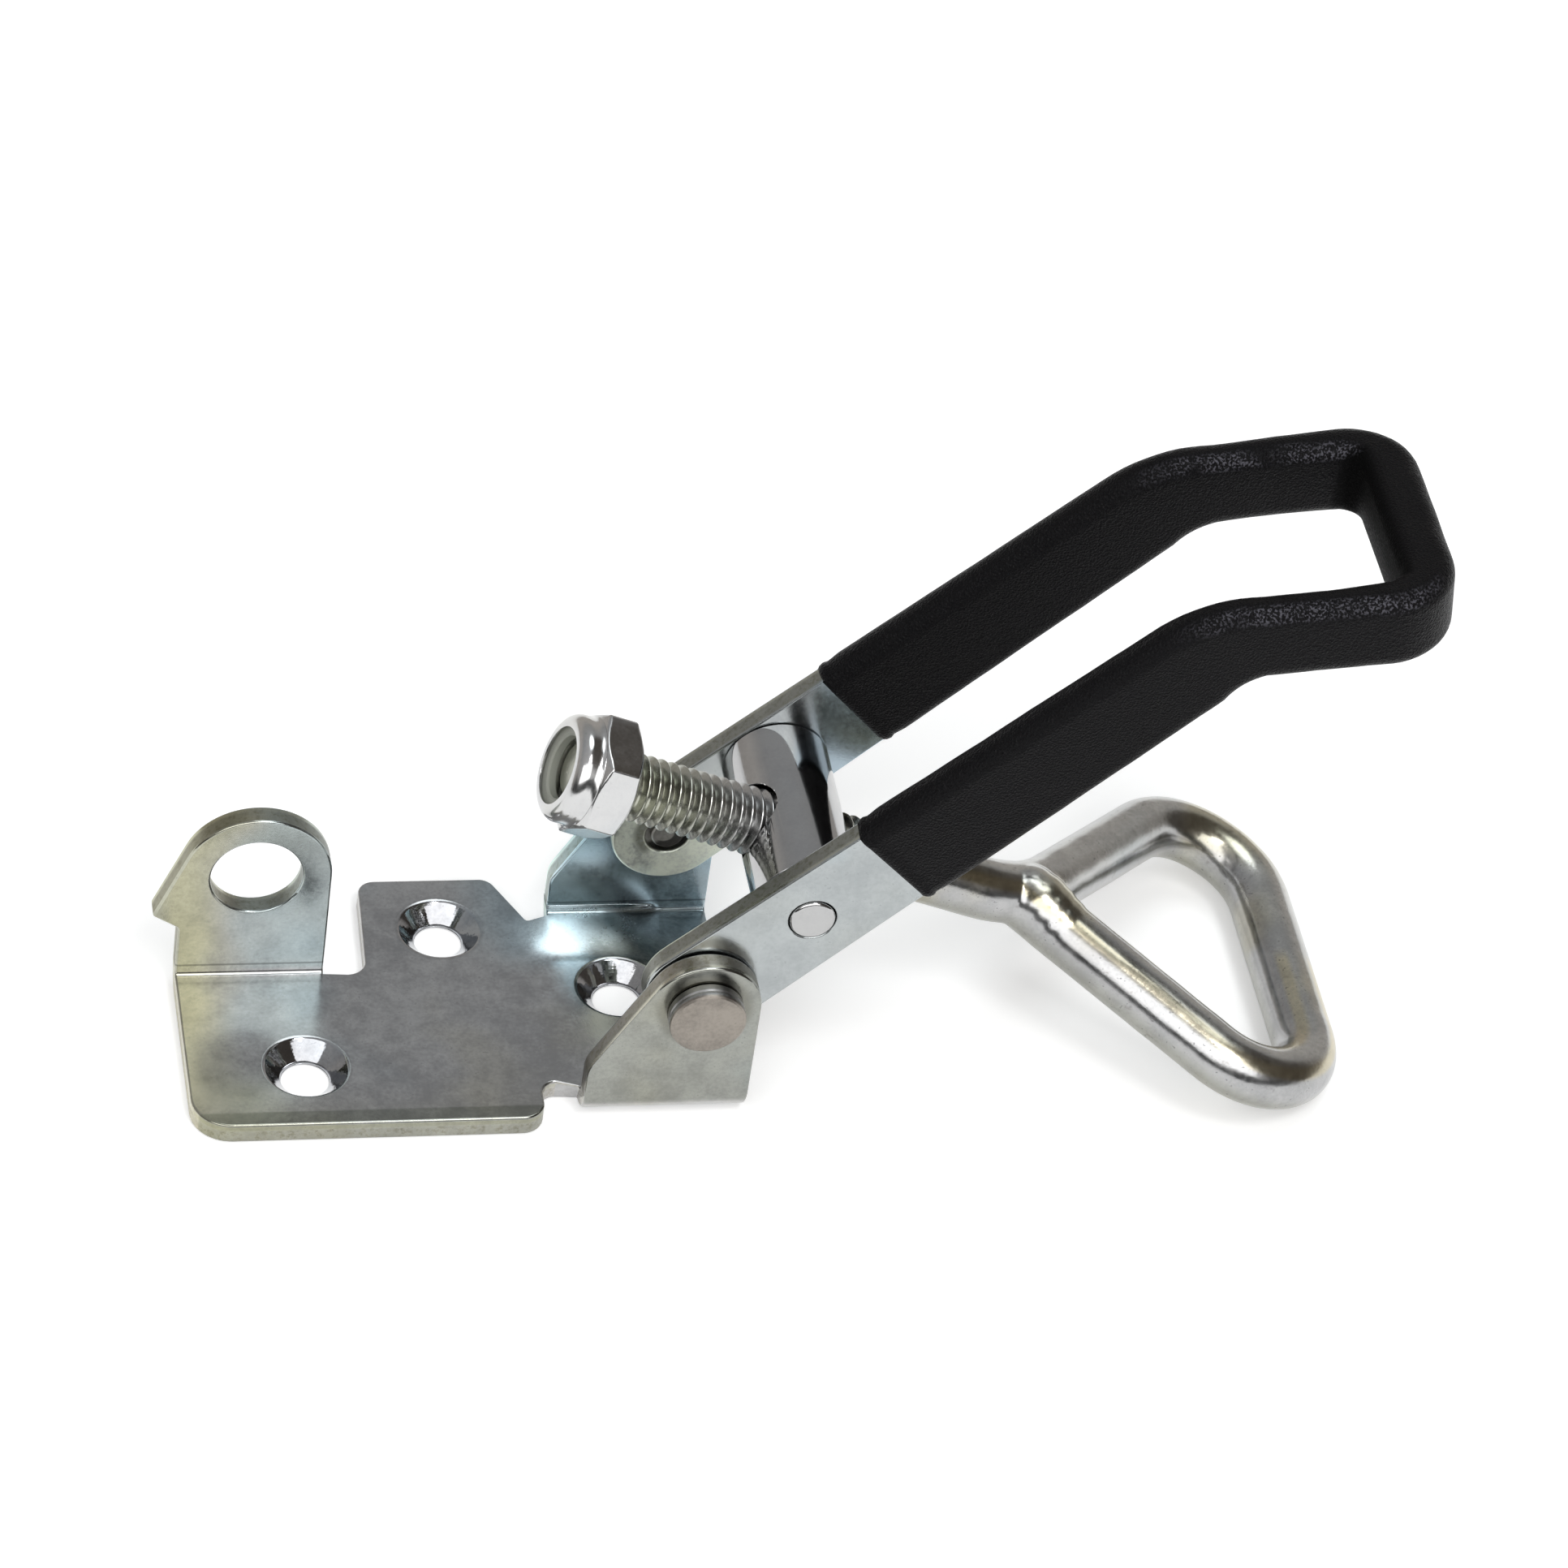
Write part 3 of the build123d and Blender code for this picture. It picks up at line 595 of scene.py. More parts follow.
# ---------------------------------------------------------------- base, lever and cross bar
SHEARED_EDGE = 0.22            # softening of sheared edges
TURNED_EDGE = 0.12             # and of turned ones
SOFTENED_ABOVE = radians(32)   # edges that turn more than this are softened
CREASE = 0.35                  # inside radius of the coined folds
# inside corner of each fold, the side that its upright stands on, and its left and right end
FOLDS = ((LOCK_FACE, 1, -44, -30), (EAR_INSIDE, 1, -10, 5), (-EAR_INSIDE, -1, -10, 5))
FLAT = 0.9                     # least share of a normal along an axis on a rolled face
DRILL_LENGTH = 20


def tighten_folds(piece):
    """Draws the inside of each fold in to a coined crease."""
    for corner_y, side, left, right in FOLDS:
        for vertex in piece.data.vertices:
            x, y, z = vertex.co / MM
            from_centre = hypot(y - corner_y + side * FOLD_INSIDE, z - SHEET - FOLD_INSIDE)
            within = side * (corner_y - y) < FOLD_INSIDE + 0.02 and z < SHEET + FOLD_INSIDE + 0.02
            if left < x < right and within and abs(from_centre - FOLD_INSIDE) < 0.02:
                vertex.co.y = (corner_y + (y - corner_y) * CREASE / FOLD_INSIDE) * MM
                vertex.co.z = (SHEET + (z - SHEET) * CREASE / FOLD_INSIDE) * MM


def tuck_corners(piece):
    """Draws back the corners that the bevel ran off along the padlock ear's fold, and lays the base flat."""
    for vertex in piece.data.vertices:
        x, y, z = vertex.co / MM
        if x < LOCK_RIGHT + 0.2 and y > LOCK_FACE + 0.25 and z < 0.25:
            y = LOCK_FACE - 0.35
            z = 0.09
        vertex.co = Vector((x, y, max(z, 0))) * MM


def drill_rod_hole(piece):
    """Opens the hole for the hook rod to its full width."""
    deselect()
    bpy.ops.mesh.primitive_cylinder_add(vertices=64, radius=ROD_HOLE * MM, depth=DRILL_LENGTH * MM)
    drill = bpy.context.object
    lie = (-rod_along).to_track_quat("Z", "Y").to_matrix().to_4x4()
    drill.data.transform(Matrix.Translation(cross_bar_centre * MM) @ lie)
    modify(piece, "BOOLEAN", object=drill, operation="DIFFERENCE", solver="EXACT")
    bpy.data.objects.remove(drill)
    activate(piece)


def mark_edges(piece):
    """Face attribute: 0 on the rolled faces of folded sheet, 1 on its cut edges and 0.5 between them."""
    mark = piece.data.attributes.new("edge", "FLOAT", "FACE")
    for face in piece.data.polygons:
        along_x, along_y, along_z = (abs(part) for part in face.normal)
        in_flat = face.center.z < (SHEET + 0.2) * MM
        upright_face = along_y > FLAT
        rolled = along_z > FLAT if in_flat else upright_face
        in_fold = face.center.z < (SHEET + FOLD_INSIDE + 0.2) * MM and not (in_flat and upright_face)
        folded = along_x < 1 - FLAT and in_fold
        cut = along_x > 0.97 or (along_z if in_flat else along_y) < 1 - FLAT
        mark.data[face.index].value = 0 if rolled or folded else 1 if cut else 0.5


def softened(node, name, edge, before=None, after=None):
    """A copy of a CAD node whose edges are rounded a little, as sheared and tumbled ones are."""
    deselect()
    piece = bpy.data.objects.new(name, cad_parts[node].data.copy())
    bpy.context.scene.collection.objects.link(piece)
    activate(piece)
    bpy.ops.mesh.customdata_custom_splitnormals_clear()
    in_edit(piece, (bpy.ops.mesh.remove_doubles, {"threshold": 2e-6}),
            (bpy.ops.mesh.dissolve_limited, {"angle_limit": radians(1)}), OUTWARDS)
    if before:
        before(piece)
    bpy.ops.object.shade_smooth()
    modify(piece, "BEVEL", width=edge * MM, segments=3, limit_method="ANGLE", angle_limit=SOFTENED_ABOVE,
           use_clamp_overlap=False, miter_outer="MITER_ARC")
    if after:
        after(piece)
    modify(piece, "WEIGHTED_NORMAL", weight=90, keep_sharp=True)
    mark_edges(piece)
    return piece


base = softened("base_plate", "base_plate_pressed", SHEARED_EDGE, before=tighten_folds, after=tuck_corners)
finish_piece(base, base_zinc(), "base", replaced="base_plate")
lever = softened("lever", "lever_pressed", SHEARED_EDGE)
finish_piece(lever, lever_zinc(), "lever", replaced="lever")
cross_bar = softened("cross_bar", "cross_bar_turned", TURNED_EDGE, before=drill_rod_hole)
finish_piece(cross_bar, bar_zinc(), "cross_bar", replaced="cross_bar")

# ---------------------------------------------------------------- rivets
# radius and distance from the middle of the latch, from the riveted tail to the head
RIVET = (
    (0, 9.05), (1.30, 9.05), (1.45, 9.15), (1.45, 9.65), (2.0, 9.65), (2.0, 11.05), (2.5, 11.05),
    (2.5, 13.35), (3.2, 13.35), (3.30, 13.45), (3.32, 14.05), (3.24, 14.20), (3.24, 14.32),
    (3.33, 14.45), (3.33, 14.70), (3.27, 14.88), (3.10, 15.0), (2.2, 15.04), (0, 15.05),
)
dull_zinc = rivet_zinc()
for side, name, node in ((-1, "rivet_front_headed", "rivet_front"), (1, "rivet_rear_headed", "rivet_rear")):
    across_latch = placed((0, 0, PIVOT_HEIGHT), Vector((side, 0, 0)), Vector((0, 0, -1)), rearward * side)
    finish_piece(lathe(opened(outline(name, RIVET))), dull_zinc, "lever", replaced=node,
                 place=across_latch, sharp=28)

# ---------------------------------------------------------------- nut and its ring
NUT_FACE = 17.15               # bearing face, from the axis of the cross bar
NUT_TURN = radians(16.2)
NUT_FLAT = 5.0                 # axis to a flat
NUT_EDGE_ROUND = 0.42          # rounding of the hexagon's upright edges
NUT_FILLET = 0.16              # where the hexagon meets its cones
NUT_HEIGHT = 5.75
HEXAGON_TOP = 3.0              # where the upper cone starts
CONE_STEP = 0.07               # between the rings of each cone
COLLAR_RADIUS = 4.78
COLLAR_ROUND = 1.15            # rounding of its crimped edge
LIP_RADIUS = 3.62              # opening left by the crimped lip
RING_POCKET = 4.15             # radius of the nylon ring's pocket
RING_SEAT = 4.35               # height of the ring's seat above the bearing face
nut_corner = NUT_FLAT / cos(pi / 6)
cone_slope = tan(pi / 3)


def hexagon_radius(angle):
    """Distance of the nut's side from its axis at an angle from the middle of a flat."""
    from_flat = abs((angle + pi / 6) % (pi / 3) - pi / 6)
    if tan(from_flat) * NUT_FLAT < (NUT_FLAT - NUT_EDGE_ROUND) * tan(pi / 6):
        return NUT_FLAT / cos(from_flat)
    centre = (NUT_FLAT - NUT_EDGE_ROUND) / cos(pi / 6)
    aside = pi / 6 - from_flat
    return centre * cos(aside) + (NUT_EDGE_ROUND ** 2 - (centre * sin(aside)) ** 2) ** 0.5


def blended(first, second, reach):
    """The smaller of two radii, with a small fillet where they meet."""
    overlap = max(reach - abs(first - second), 0) / reach
    return min(first, second) - overlap ** 2 * reach / 4


def nut_angles():
    """Ten directions across each flat and eight round each edge of the hexagon."""
    flat_end = atan2((NUT_FLAT - NUT_EDGE_ROUND) * tan(pi / 6), NUT_FLAT)
    sector = [flat_end * (k / 9 * 2 - 1) for k in range(10)]
    sector += [flat_end + (pi / 3 - 2 * flat_end) * k / 9 for k in range(1, 9)]
    return [pi / 3 * side + angle for side in range(6) for angle in sector]


def nut_outside():
    """Height and largest radius, from the bearing face up over the collar to its lip."""
    steps = [CONE_STEP * k for k in range(9)]
    rows = [(0, 4.70), (0.03, 4.85)]
    rows += [(0.10 + step, 4.93 + step * cone_slope) for step in steps]
    rows += [(0.9, 7), (2.0, 7), (HEXAGON_TOP - 0.05, 7)]
    rows += [(HEXAGON_TOP + step, nut_corner + 0.15 - step * cone_slope) for step in steps]
    rows += [(3.62, 4.98), (3.74, 4.87), (3.92, 4.80), (4.2, COLLAR_RADIUS)]
    for angle in (radians(10 * k) for k in range(11)):
        height = NUT_HEIGHT - COLLAR_ROUND * (1 - sin(angle))
        rows.append((height, COLLAR_RADIUS - COLLAR_ROUND * (1 - cos(angle))))
    return rows


def nut_ring(radii, height):
    """Points at one height, one in each direction."""
    return [Vector((radius * cos(angle + NUT_TURN), radius * sin(angle + NUT_TURN), height))
            for angle, radius in zip(nut_angles(), radii)]


# height and radius, from the lip down the bore to the bearing face
NUT_INSIDE = (
    (NUT_HEIGHT - 0.10, LIP_RADIUS - 0.07), (NUT_HEIGHT - 0.22, LIP_RADIUS - 0.1),
    (NUT_HEIGHT - 0.34, LIP_RADIUS - 0.04), (NUT_HEIGHT - 0.38, LIP_RADIUS + 0.06),
    (NUT_HEIGHT - 0.38, RING_POCKET), (RING_SEAT, RING_POCKET), (RING_SEAT, 3.0), (0.45, 3.0), (0, 3.5),
)
# radius and height, round the section of the ring
RING = (
    (2.85, 4.38), (2.78, 4.5), (2.78, 5.12), (2.95, 5.28), (3.6, 5.34), (4.12, 5.34), (4.12, 4.38),
    (3.0, 4.38),
)
hexagon = [hexagon_radius(angle) for angle in nut_angles()]
nut_rings = [nut_ring([blended(radius, limit, NUT_FILLET) for radius in hexagon], height)
             for height, limit in nut_outside()]
nut_rings += [nut_ring([radius] * len(hexagon), height) for height, radius in NUT_INSIDE]
nut_place = placed(cross_bar_centre - rod_along * NUT_FACE, -rearward, rod_up, -rod_along)
finish_piece(wrapped("stop_nut_formed", nut_rings), nut_zinc(), "hook", replaced="stop_nut",
             place=nut_place, sharp=50)
finish_piece(lathe(outline("nylon_ring_pressed", RING)), nylon(), "hook", replaced="nylon_ring",
             place=nut_place, sharp=30)

# ---------------------------------------------------------------- hook: bent loop and weld
FAR_LEG_START = 23.3           # where the rear leg's line leaves the rod's line, from the cross bar
NEAR_LEG_START = 23.8          # and the front leg's line
FAR_LEG_ANGLE = radians(43.7)
NEAR_LEG_ANGLE = radians(40.0)
NECK_BEND = 12.0               # bends at the middle of the bar
FAR_BEND = 7.1
NEAR_BEND = 6.6
THREAD_END = 11.0              # end of the thread toward the loop
# lumps of the weld: distance along the front leg, radius and height above the loop's middle plane
WELD_LUMPS = ((-0.1, 2.70, 0.72), (1.0, 2.86, 0.62), (2.2, 2.86, 0.42), (3.6, 2.84, 0.15))
WELD_PLACE = Vector((NEAR_LEG_START + 0.8, -0.7, 0))
WELD_ROUGH = 0.06              # unevenness at the weld
WELD_FADE = 5.0                # over which it fades
BAR_ROUGH = 0.02               # unevenness of the whole bar

near_leg = Vector((cos(NEAR_LEG_ANGLE), -sin(NEAR_LEG_ANGLE), 0))
far_corner = Vector((LOOP_REACH, (LOOP_REACH - FAR_LEG_START) * tan(FAR_LEG_ANGLE), 0))
near_corner = Vector((LOOP_REACH, -(LOOP_REACH - NEAR_LEG_START) * tan(NEAR_LEG_ANGLE), 0))
neck_start = Vector((THREAD_END - 0.6, 0, 0))
neck_corner = Vector((FAR_LEG_START, 0, 0))
weld_end = Vector((NEAR_LEG_START, 0, 0)) - near_leg * 0.6


def bent_line(corners, bends):
    """(place, handle before, handle after) along runs that are rounded at their corners."""
    spots = [(corners[0], None, None)]
    for before, here, after, bend in zip(corners, corners[1:], corners[2:], bends):
        way_back = (before - here).normalized()
        way_on = (after - here).normalized()
        turn = pi - way_back.angle(way_on)
        reach = bend * tan(turn / 2)
        handle = bend * tan(turn / 4) * 4 / 3
        first = here + way_back * reach
        second = here + way_on * reach
        spots.append((first, None, first - way_back * handle))
        spots.append((second, second - way_on * handle, None))
    return spots + [(corners[-1], None, None)]


def tube(name, corners, bends, radius):
    """A round bar bent round corners, as a mesh."""
    curve = bpy.data.curves.new(name, "CURVE")
    curve.dimensions = "3D"
    curve.resolution_u = curve.render_resolution_u = 24
    curve.bevel_depth = radius
    curve.bevel_resolution = 10
    curve.use_fill_caps = True
    spots = bent_line(corners, bends)
    spline = curve.splines.new("BEZIER")
    spline.bezier_points.add(len(spots) - 1)
    for k, (point, (spot, left, right)) in enumerate(zip(spline.bezier_points, spots)):
        before = spots[max(k - 1, 0)][0]
        after = spots[min(k + 1, len(spots) - 1)][0]
        point.co = spot
        point.handle_left_type = point.handle_right_type = "FREE"
        point.handle_left = spot.lerp(before, 1 / 3) if left is None else left
        point.handle_right = spot.lerp(after, 1 / 3) if right is None else right
    holder = bpy.data.objects.new(name, curve)
    bpy.context.scene.collection.objects.link(holder)
    mesh = bpy.data.meshes.new_from_object(holder)
    bpy.data.objects.remove(holder)
    piece = bpy.data.objects.new(name, mesh)
    bpy.context.scene.collection.objects.link(piece)
    return piece


def weld_lump(along, radius, lift):
    deselect()
    spot = Vector((NEAR_LEG_START, 0, lift)) + near_leg * along
    bpy.ops.mesh.primitive_uv_sphere_add(segments=48, ring_count=24, radius=radius, location=spot)
    bpy.ops.object.transform_apply(location=True)
    return bpy.context.object


def welded(loop, lumps):
    """Melts the loop and the lumps of the weld into one skin, a little uneven round the weld."""
    deselect()
    for part in (loop, *lumps):
        part.select_set(True)
    bpy.context.view_layer.objects.active = loop
    bpy.ops.object.join()
    modify(loop, "REMESH", mode="VOXEL", voxel_size=0.25, use_smooth_shade=True)
    normals = [vertex.normal.copy() for vertex in loop.data.vertices]
    for vertex, normal in zip(loop.data.vertices, normals):
        rough = WELD_ROUGH * max(0.0, 1 - (vertex.co - WELD_PLACE).length / WELD_FADE)
        lift = rough * noise.noise(vertex.co / 1.3) + BAR_ROUGH * noise.noise(vertex.co / 2.3)
        vertex.co += normal * lift
    modify(loop, "SMOOTH", factor=0.5, iterations=4)
    return loop


loop = tube("hook_loop_bent", (neck_start, neck_corner, far_corner, near_corner, weld_end),
            (NECK_BEND, FAR_BEND, NEAR_BEND), BAR_RADIUS)
welded(loop, [weld_lump(*lump) for lump in WELD_LUMPS])
finish_piece(loop, rod_zinc(), "hook", replaced="hook_rod",
             place=placed(cross_bar_centre, rod_along, rearward, rod_up))

# ---------------------------------------------------------------- hook: thread
THREAD_FREE_END = 21.5         # free end of the rod, from the cross bar
PITCH = 1.0
TURNS = 35                     # wound, before the ends are cut off
# radius and height of one turn, from root over crest to root
THREAD = (
    (2.42, 0.0), (2.42, 0.10), (2.50, 0.17), (2.88, 0.385), (2.965, 0.44), (2.985, 0.50), (2.965, 0.56),
    (2.88, 0.615), (2.50, 0.83), (2.42, 0.90), (2.42, 1.0),
)


def cut_thread():
    """A winding thread, cut off at both ends and drawn in to a point there."""
    thread = opened(outline("hook_thread", THREAD))
    turned_about_z(thread, 48, screw_offset=PITCH, iterations=TURNS)
    thread.data.transform(Matrix.Translation((0, 0, -THREAD_END - 1.2)))
    in_edit(thread, MERGE_DOUBLES, OUTWARDS)
    for height, above, below in ((THREAD_FREE_END, True, False), (-THREAD_END, False, True)):
        saw = {"plane_co": (0, 0, height), "plane_no": (0, 0, 1), "use_fill": True}
        in_edit(thread, (bpy.ops.mesh.bisect, {**saw, "clear_outer": above, "clear_inner": below}))
    for vertex in thread.data.vertices:
        x, y, z = vertex.co
        out = hypot(x, y)
        widest = min(2.2 + (THREAD_FREE_END - z) * 1.2, 2.3 + (z + THREAD_END) * 0.8)
        if out > widest > 0:
            vertex.co = (x * widest / out, y * widest / out, z)
    return thread


finish_piece(cut_thread(), thread_zinc(), "hook", sharp=35,
             place=placed(cross_bar_centre, -rearward, rod_up, -rod_along))

# ---------------------------------------------------------------- vinyl coat, one closed skin
GRIP_START = 20.4              # pivot to the lower end of the coat
PIVOT_HALF = 5.0               # half the height of the strip at the pivot
ELBOW_HALF = 4.1               # at the dog-leg
HANDLE_HALF = 3.3              # and past it
STRIP_HALF = SHEET / 2         # half its thickness
END_MIDDLE = HANDLE_LENGTH - STRIP_HALF
CORNER_BEND = 4.4              # of the U, at the middle of the strip
ELBOW_REACH = 3.4              # the dog-leg is rounded over this far each way
COAT_SIDE = 0.7                # coat on the faces of the strip
COAT_EDGE = 0.5                # and on its edges
COAT_POOLED = 2.1              # coat inside the end of the U, where it pools
COAT_ROUND = 1.69              # rounding of its corners
FLARE = 0.32                   # the handle's end is this much wider each side
SAG = 0.26                     # the coat hangs lower under the front arm
SAGS_ABOVE = 0.1               # but not where it is thinner than this
COAT_INNER = 0.01              # the inner skin lies just off the strip
INNER_ROUND = 0.12             # rounding of its corners
# how far up the arm each ring of the coat's lower end lies, and how much thinner it is
COAT_END = ((0, 0.42), (0.10, 0.22), (0.35, 0.06), (0.75, 0))
COAT_NECK = 0.12               # and how much thinner the next ring is
POINTS_ROUND = 48
RAGGED_OVER = 1.4              # the lower end is uneven over this length

arm_along = Vector((cos(LEVER_ANGLE), 0, sin(LEVER_ANGLE)))
arm_up = Vector((-sin(LEVER_ANGLE), 0, cos(LEVER_ANGLE)))
handle_along = Vector((cos(HANDLE_ANGLE), 0, sin(HANDLE_ANGLE)))
handle_up = Vector((-sin(HANDLE_ANGLE), 0, cos(HANDLE_ANGLE)))
pivot = Vector((0, 0, PIVOT_HEIGHT))
elbow = pivot + arm_along * ARM_LENGTH
# middle of the strip, its height and outward directions, half its height, share of pooling, and sag
Station = namedtuple("Station", "middle up out half pool sag")


def arm_half(along):
    """Half the height of the strip, which draws in from the pivot to the dog-leg."""
    return PIVOT_HALF + (ELBOW_HALF - PIVOT_HALF) * along / ARM_LENGTH


def arm_stations(side):
    last = ARM_LENGTH - ELBOW_REACH
    for step in range(27):
        along = GRIP_START + (last - GRIP_START) * step / 26
        yield Station(pivot + arm_along * along + side * ARM_MIDDLE, arm_up, side, arm_half(along), 0, SAG)


def elbow_stations(side):
    start = elbow - arm_along * ELBOW_REACH
    end = elbow + handle_along * ELBOW_REACH
    start_half = arm_half(ARM_LENGTH - ELBOW_REACH)
    for share in (step / 9 for step in range(1, 9)):
        middle = start.lerp(elbow, share).lerp(elbow.lerp(end, share), share)
        slope = LEVER_ANGLE + (HANDLE_ANGLE - LEVER_ANGLE) * share
        yield Station(middle + side * ARM_MIDDLE, Vector((-sin(slope), 0, cos(slope))), side,
                      start_half + (HANDLE_HALF - start_half) * share, 0, SAG * (1 - share))


def handle_stations(side):
    last = END_MIDDLE - CORNER_BEND
    for share in (step / 10 for step in range(11)):
        middle = elbow + handle_along * (ELBOW_REACH + (last - ELBOW_REACH) * share)
        yield Station(middle + side * (ARM_MIDDLE + FLARE * share), handle_up, side, HANDLE_HALF,
                      max(0, share - 0.5) * 0.6, 0)


def corner_stations(side):
    centre = elbow + handle_along * (END_MIDDLE - CORNER_BEND) + side * (ARM_MIDDLE + FLARE - CORNER_BEND)
    for turn in (pi / 2 * step / 12 for step in range(1, 12)):
        out = side * cos(turn) + handle_along * sin(turn)
        yield Station(centre + out * CORNER_BEND, handle_up, out, HANDLE_HALF, 0.3 + 0.7 * sin(turn), 0)


def end_stations(side):
    for share in (step / 6 for step in range(7)):
        aside = side * (ARM_MIDDLE + FLARE - CORNER_BEND) * (1 - share)
        yield Station(elbow + handle_along * END_MIDDLE + aside, handle_up, handle_along, HANDLE_HALF, 1, 0)


def mirrored(station):
    """The same station on the rear arm, where the coat doesn't sag."""
    flip = Vector((1, -1, 1))
    return station._replace(middle=station.middle * flip, up=station.up * flip, out=station.out * flip, sag=0)


def coat_ring(station, side_coat=COAT_SIDE, edge_coat=COAT_EDGE, pooled=COAT_POOLED, corner=COAT_ROUND):
    """Points of a rounded rectangle round the strip."""
    inner = STRIP_HALF + side_coat + (pooled - side_coat) * station.pool
    outer = STRIP_HALF + side_coat
    high = station.half + edge_coat
    wide = (outer + inner) / 2
    centre = station.middle + station.out * (outer - inner) / 2
    corner = min(corner, wide * 0.98, high * 0.98)
    in_quarter = POINTS_ROUND // 4
    points = []
    for k in range(POINTS_ROUND):
        quarter, step = divmod(k, in_quarter)
        angle = pi / 2 * (quarter + step / (in_quarter - 1))
        x = (1 if quarter in (0, 3) else -1) * (wide - corner) + corner * cos(angle)
        y = (1 if quarter in (0, 1) else -1) * (high - corner) + corner * sin(angle)
        if quarter > 1 and edge_coat > SAGS_ABOVE:
            y -= station.sag
        points.append(centre + station.out * x + station.up * y)
    return points


def thinner_ring(station, thinner):
    return coat_ring(station, COAT_SIDE - thinner, COAT_EDGE - thinner, corner=COAT_ROUND - thinner)


def coat_end(station):
    """Rings of the coat's rounded lower end, from the very end up."""
    return [thinner_ring(station._replace(middle=station.middle + arm_along * up_by), thinner)
            for up_by, thinner in COAT_END]


def inner_ring(station):
    return coat_ring(station, COAT_INNER, COAT_INNER, COAT_INNER, INNER_ROUND)


def dipped(coat):
    """Makes the coat slightly lumpy and its lower end ragged."""
    for vertex in coat.data.vertices:
        place = vertex.co.copy()
        up_arm = (place - pivot).dot(arm_along) - GRIP_START
        if up_arm < RAGGED_OVER:
            ragged = 0.16 + 0.3 * noise.noise(place / 1.7)
            vertex.co += arm_along * (1 - up_arm / RAGGED_OVER) * ragged
        vertex.co.z += noise.noise(place / 3.2) * 0.07 + noise.noise(place / 1.1) * 0.025
    return coat


front = Vector((0, -1, 0))
half = [station for stretch in (arm_stations, elbow_stations, handle_stations, corner_stations, end_stations)
        for station in stretch(front)]
stations = half + [mirrored(station) for station in reversed(half[:-1])]
skin = coat_end(stations[0]) + [thinner_ring(stations[1], COAT_NECK)]
skin += [coat_ring(station) for station in stations[2:-2]]
skin += [thinner_ring(stations[-2], COAT_NECK)] + coat_end(stations[-1])[::-1]
skin += [inner_ring(station) for station in reversed(stations)]
finish_piece(dipped(wrapped("grip_coat", skin)), vinyl(), "lever", replaced="grip_sleeve",
             place=Matrix.Scale(MM, 4), sharp=50)

# ---------------------------------------------------------------- floor
FLOOR_GLOW = 0.33              # lifts the lit paper to white for the camera and in reflections


def paper():
    """White paper that glows for the camera and in reflections, and still takes a shadow."""
    sheet = Finish("white paper", Base_Color=(0.9, 0.9, 0.9, 1), Roughness=0.9, Specular_IOR_Level=0.0)
    ray = sheet.node("ShaderNodeLightPath")
    camera_ray, glossy_ray, clear_ray = (
        Value(sheet.tree, ray.outputs[name])
        for name in ("Is Camera Ray", "Is Glossy Ray", "Is Transmission Ray"))
    seen = (camera_ray + glossy_ray + clear_ray).clamp()
    sheet.set(Emission_Color=sheet.mix(seen, (0, 0, 0, 1), (1, 1, 1, 1)), Emission_Strength=FLOOR_GLOW)
    return sheet.material


deselect()
bpy.ops.mesh.primitive_plane_add(size=6)
floor = bpy.context.object
floor.name = "floor"
floor.data.materials.append(paper())

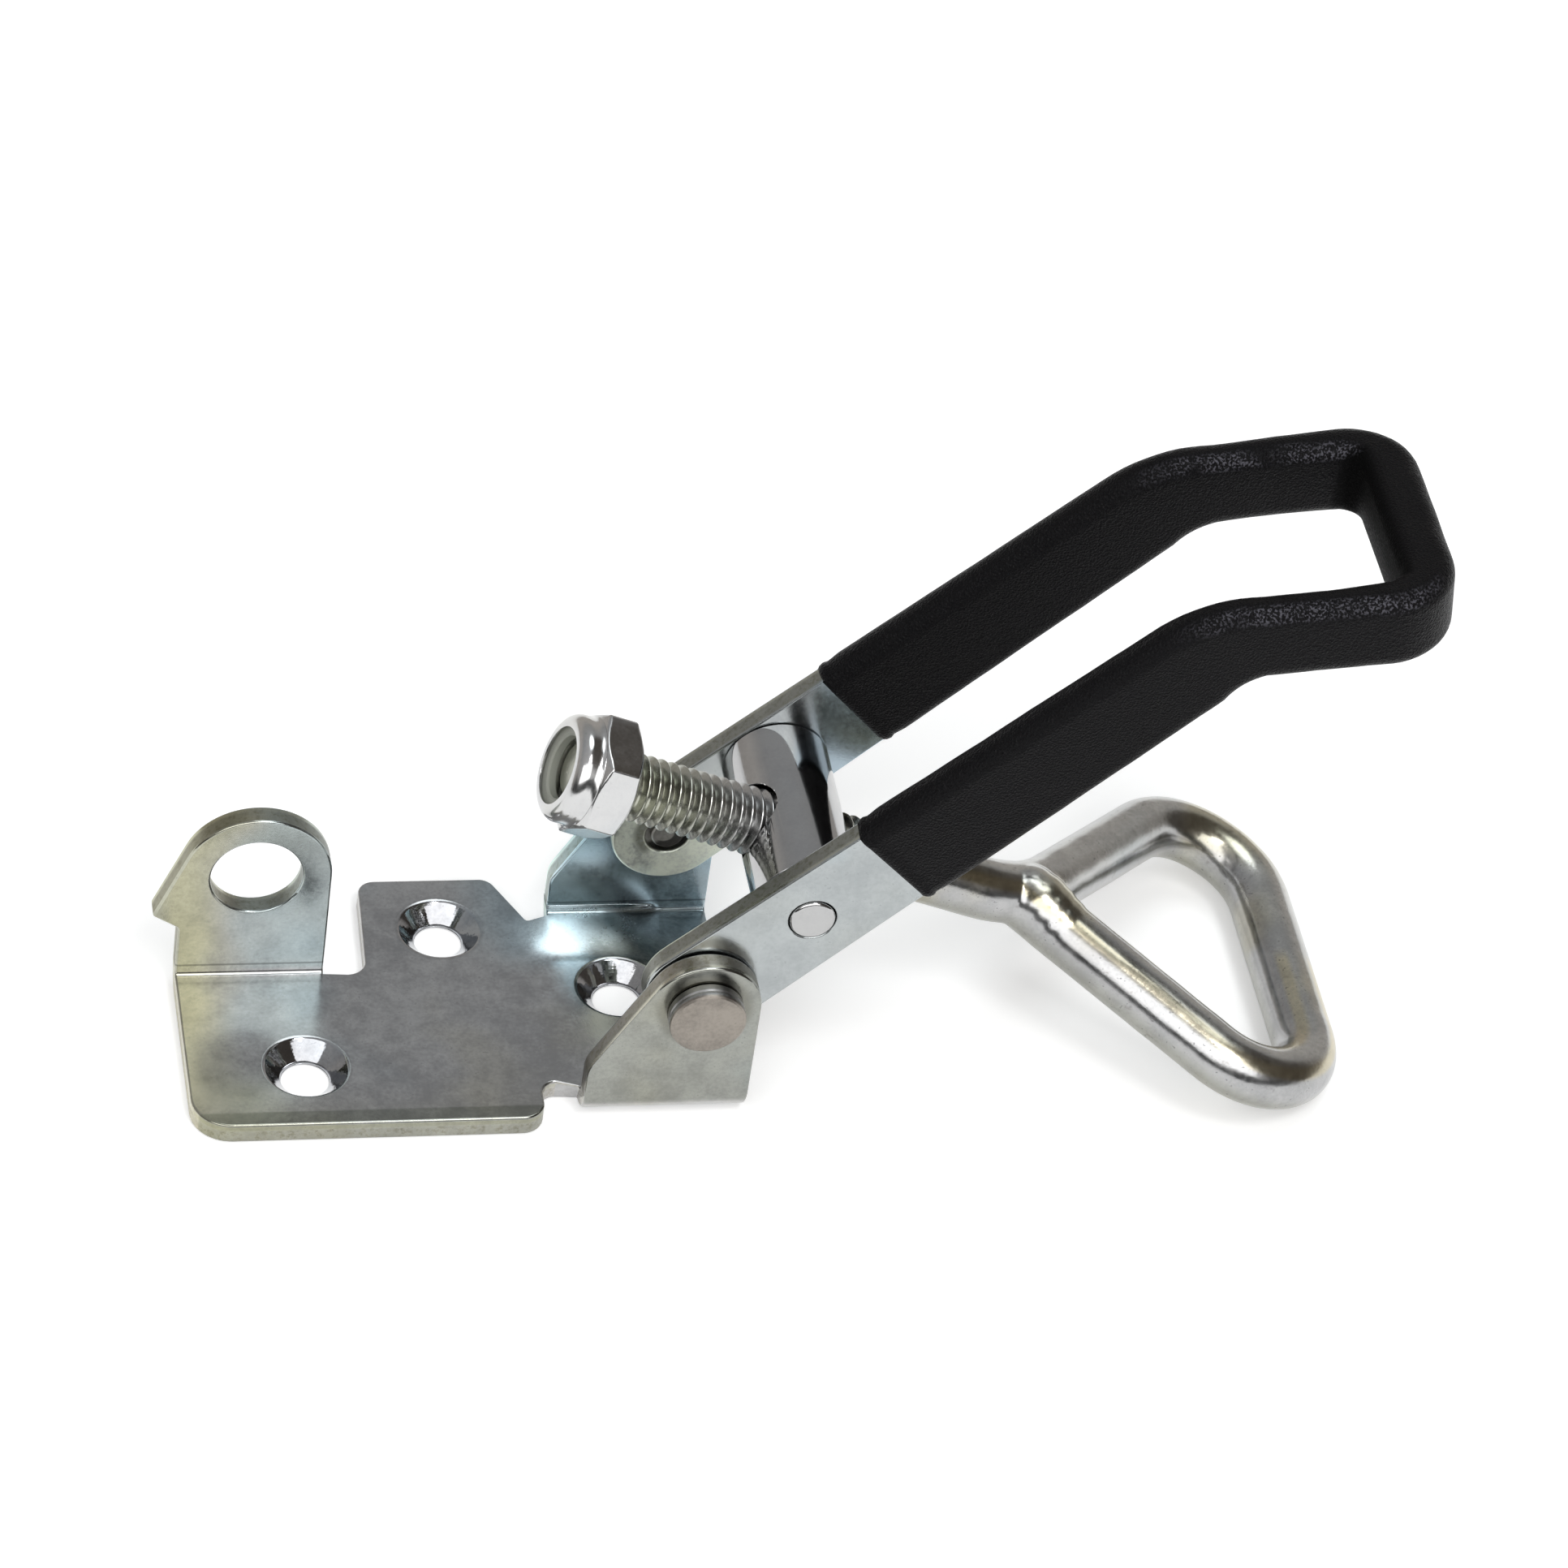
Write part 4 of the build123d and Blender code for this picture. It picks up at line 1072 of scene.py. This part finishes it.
# ---------------------------------------------------------------- room that the metal reflects
# sine of the elevation, grey and warmth, from the skirting to the ceiling
FRONT_WALL = ((0, 0.04, 0), (0.28, 0.06, 0), (0.40, 0.42, 0.03), (1, 0.50, 0))
REAR_WALL = ((0, 0.40, 0.06), (0.30, 0.46, 0.05), (0.55, 0.36, 0), (0.75, 0.40, -0.02), (1, 0.50, 0))
DOORWAY = (0.085, 0.075, 0.065, 1)
DOORWAY_EDGE = (radians(44), radians(30))        # its edge fades between these angles from its middle
WINDOW = (2.6, 2.75, 2.8, 1)
WINDOW_EDGE = (radians(19), radians(12))
WINDOW_WAY = Vector((0.20, 0.22, 0.955)).normalized()


def toward(azimuth, elevation):
    """A way in the room, in degrees; azimuth 0 is along X."""
    flat = cos(radians(elevation))
    return Vector((cos(radians(azimuth)) * flat, sin(radians(azimuth)) * flat, sin(radians(elevation))))


world = bpy.data.worlds.new("room")
bpy.context.scene.world = world
world.use_nodes = True
room = Nodes(world.node_tree)
direction = room.node("ShaderNodeTexCoord").outputs["Generated"]
heading = room.node("ShaderNodeSeparateXYZ", Vector=direction)


def wall(stops):
    """Colour of a wall by height."""
    by_height = room.node("ShaderNodeValToRGB", Fac=heading.outputs["Z"])
    elements = by_height.color_ramp.elements
    elements.remove(elements[1])
    for position, grey, warmth in stops:
        stop = elements.new(position) if position else elements[0]
        stop.color = (grey * (1 + warmth), grey, grey * (1 - warmth), 1)
    return by_height.outputs[0]


def with_patch(colour, way, edge, patch):
    """The room with a round patch of another colour in it."""
    outer, inner = edge
    share = room.ramp(room.along(direction, way), cos(outer), cos(inner))
    return room.mix(share, colour, patch)


to_rear = room.ramp(heading.outputs["Y"], -0.25, 0.25, "LINEAR")
walls = room.mix(to_rear, wall(FRONT_WALL), wall(REAR_WALL))
walls = with_patch(walls, toward(-10, 38), DOORWAY_EDGE, DOORWAY)
walls = with_patch(walls, WINDOW_WAY, WINDOW_EDGE, WINDOW)
room.tree.links.new(walls, room.tree.nodes["Background"].inputs["Color"])


# ---------------------------------------------------------------- lamps
def softbox(name, way, distance, size, power):
    """An oblong lamp that faces the latch, in metres and watts."""
    data = bpy.data.lights.new(name, "AREA")
    data.shape = "RECTANGLE"
    data.energy = power
    data.size, data.size_y = size
    lamp = bpy.data.objects.new(name, data)
    bpy.context.scene.collection.objects.link(lamp)
    lamp.location = way * distance
    lamp.rotation_euler = way.to_track_quat("Z", "Y").to_euler()


softbox("front_softbox", toward(-100, 42), 1.1, (1.6, 0.7), 7.0)
softbox("front_top_softbox", toward(-65, 62), 1.2, (0.3, 0.3), 3.2)
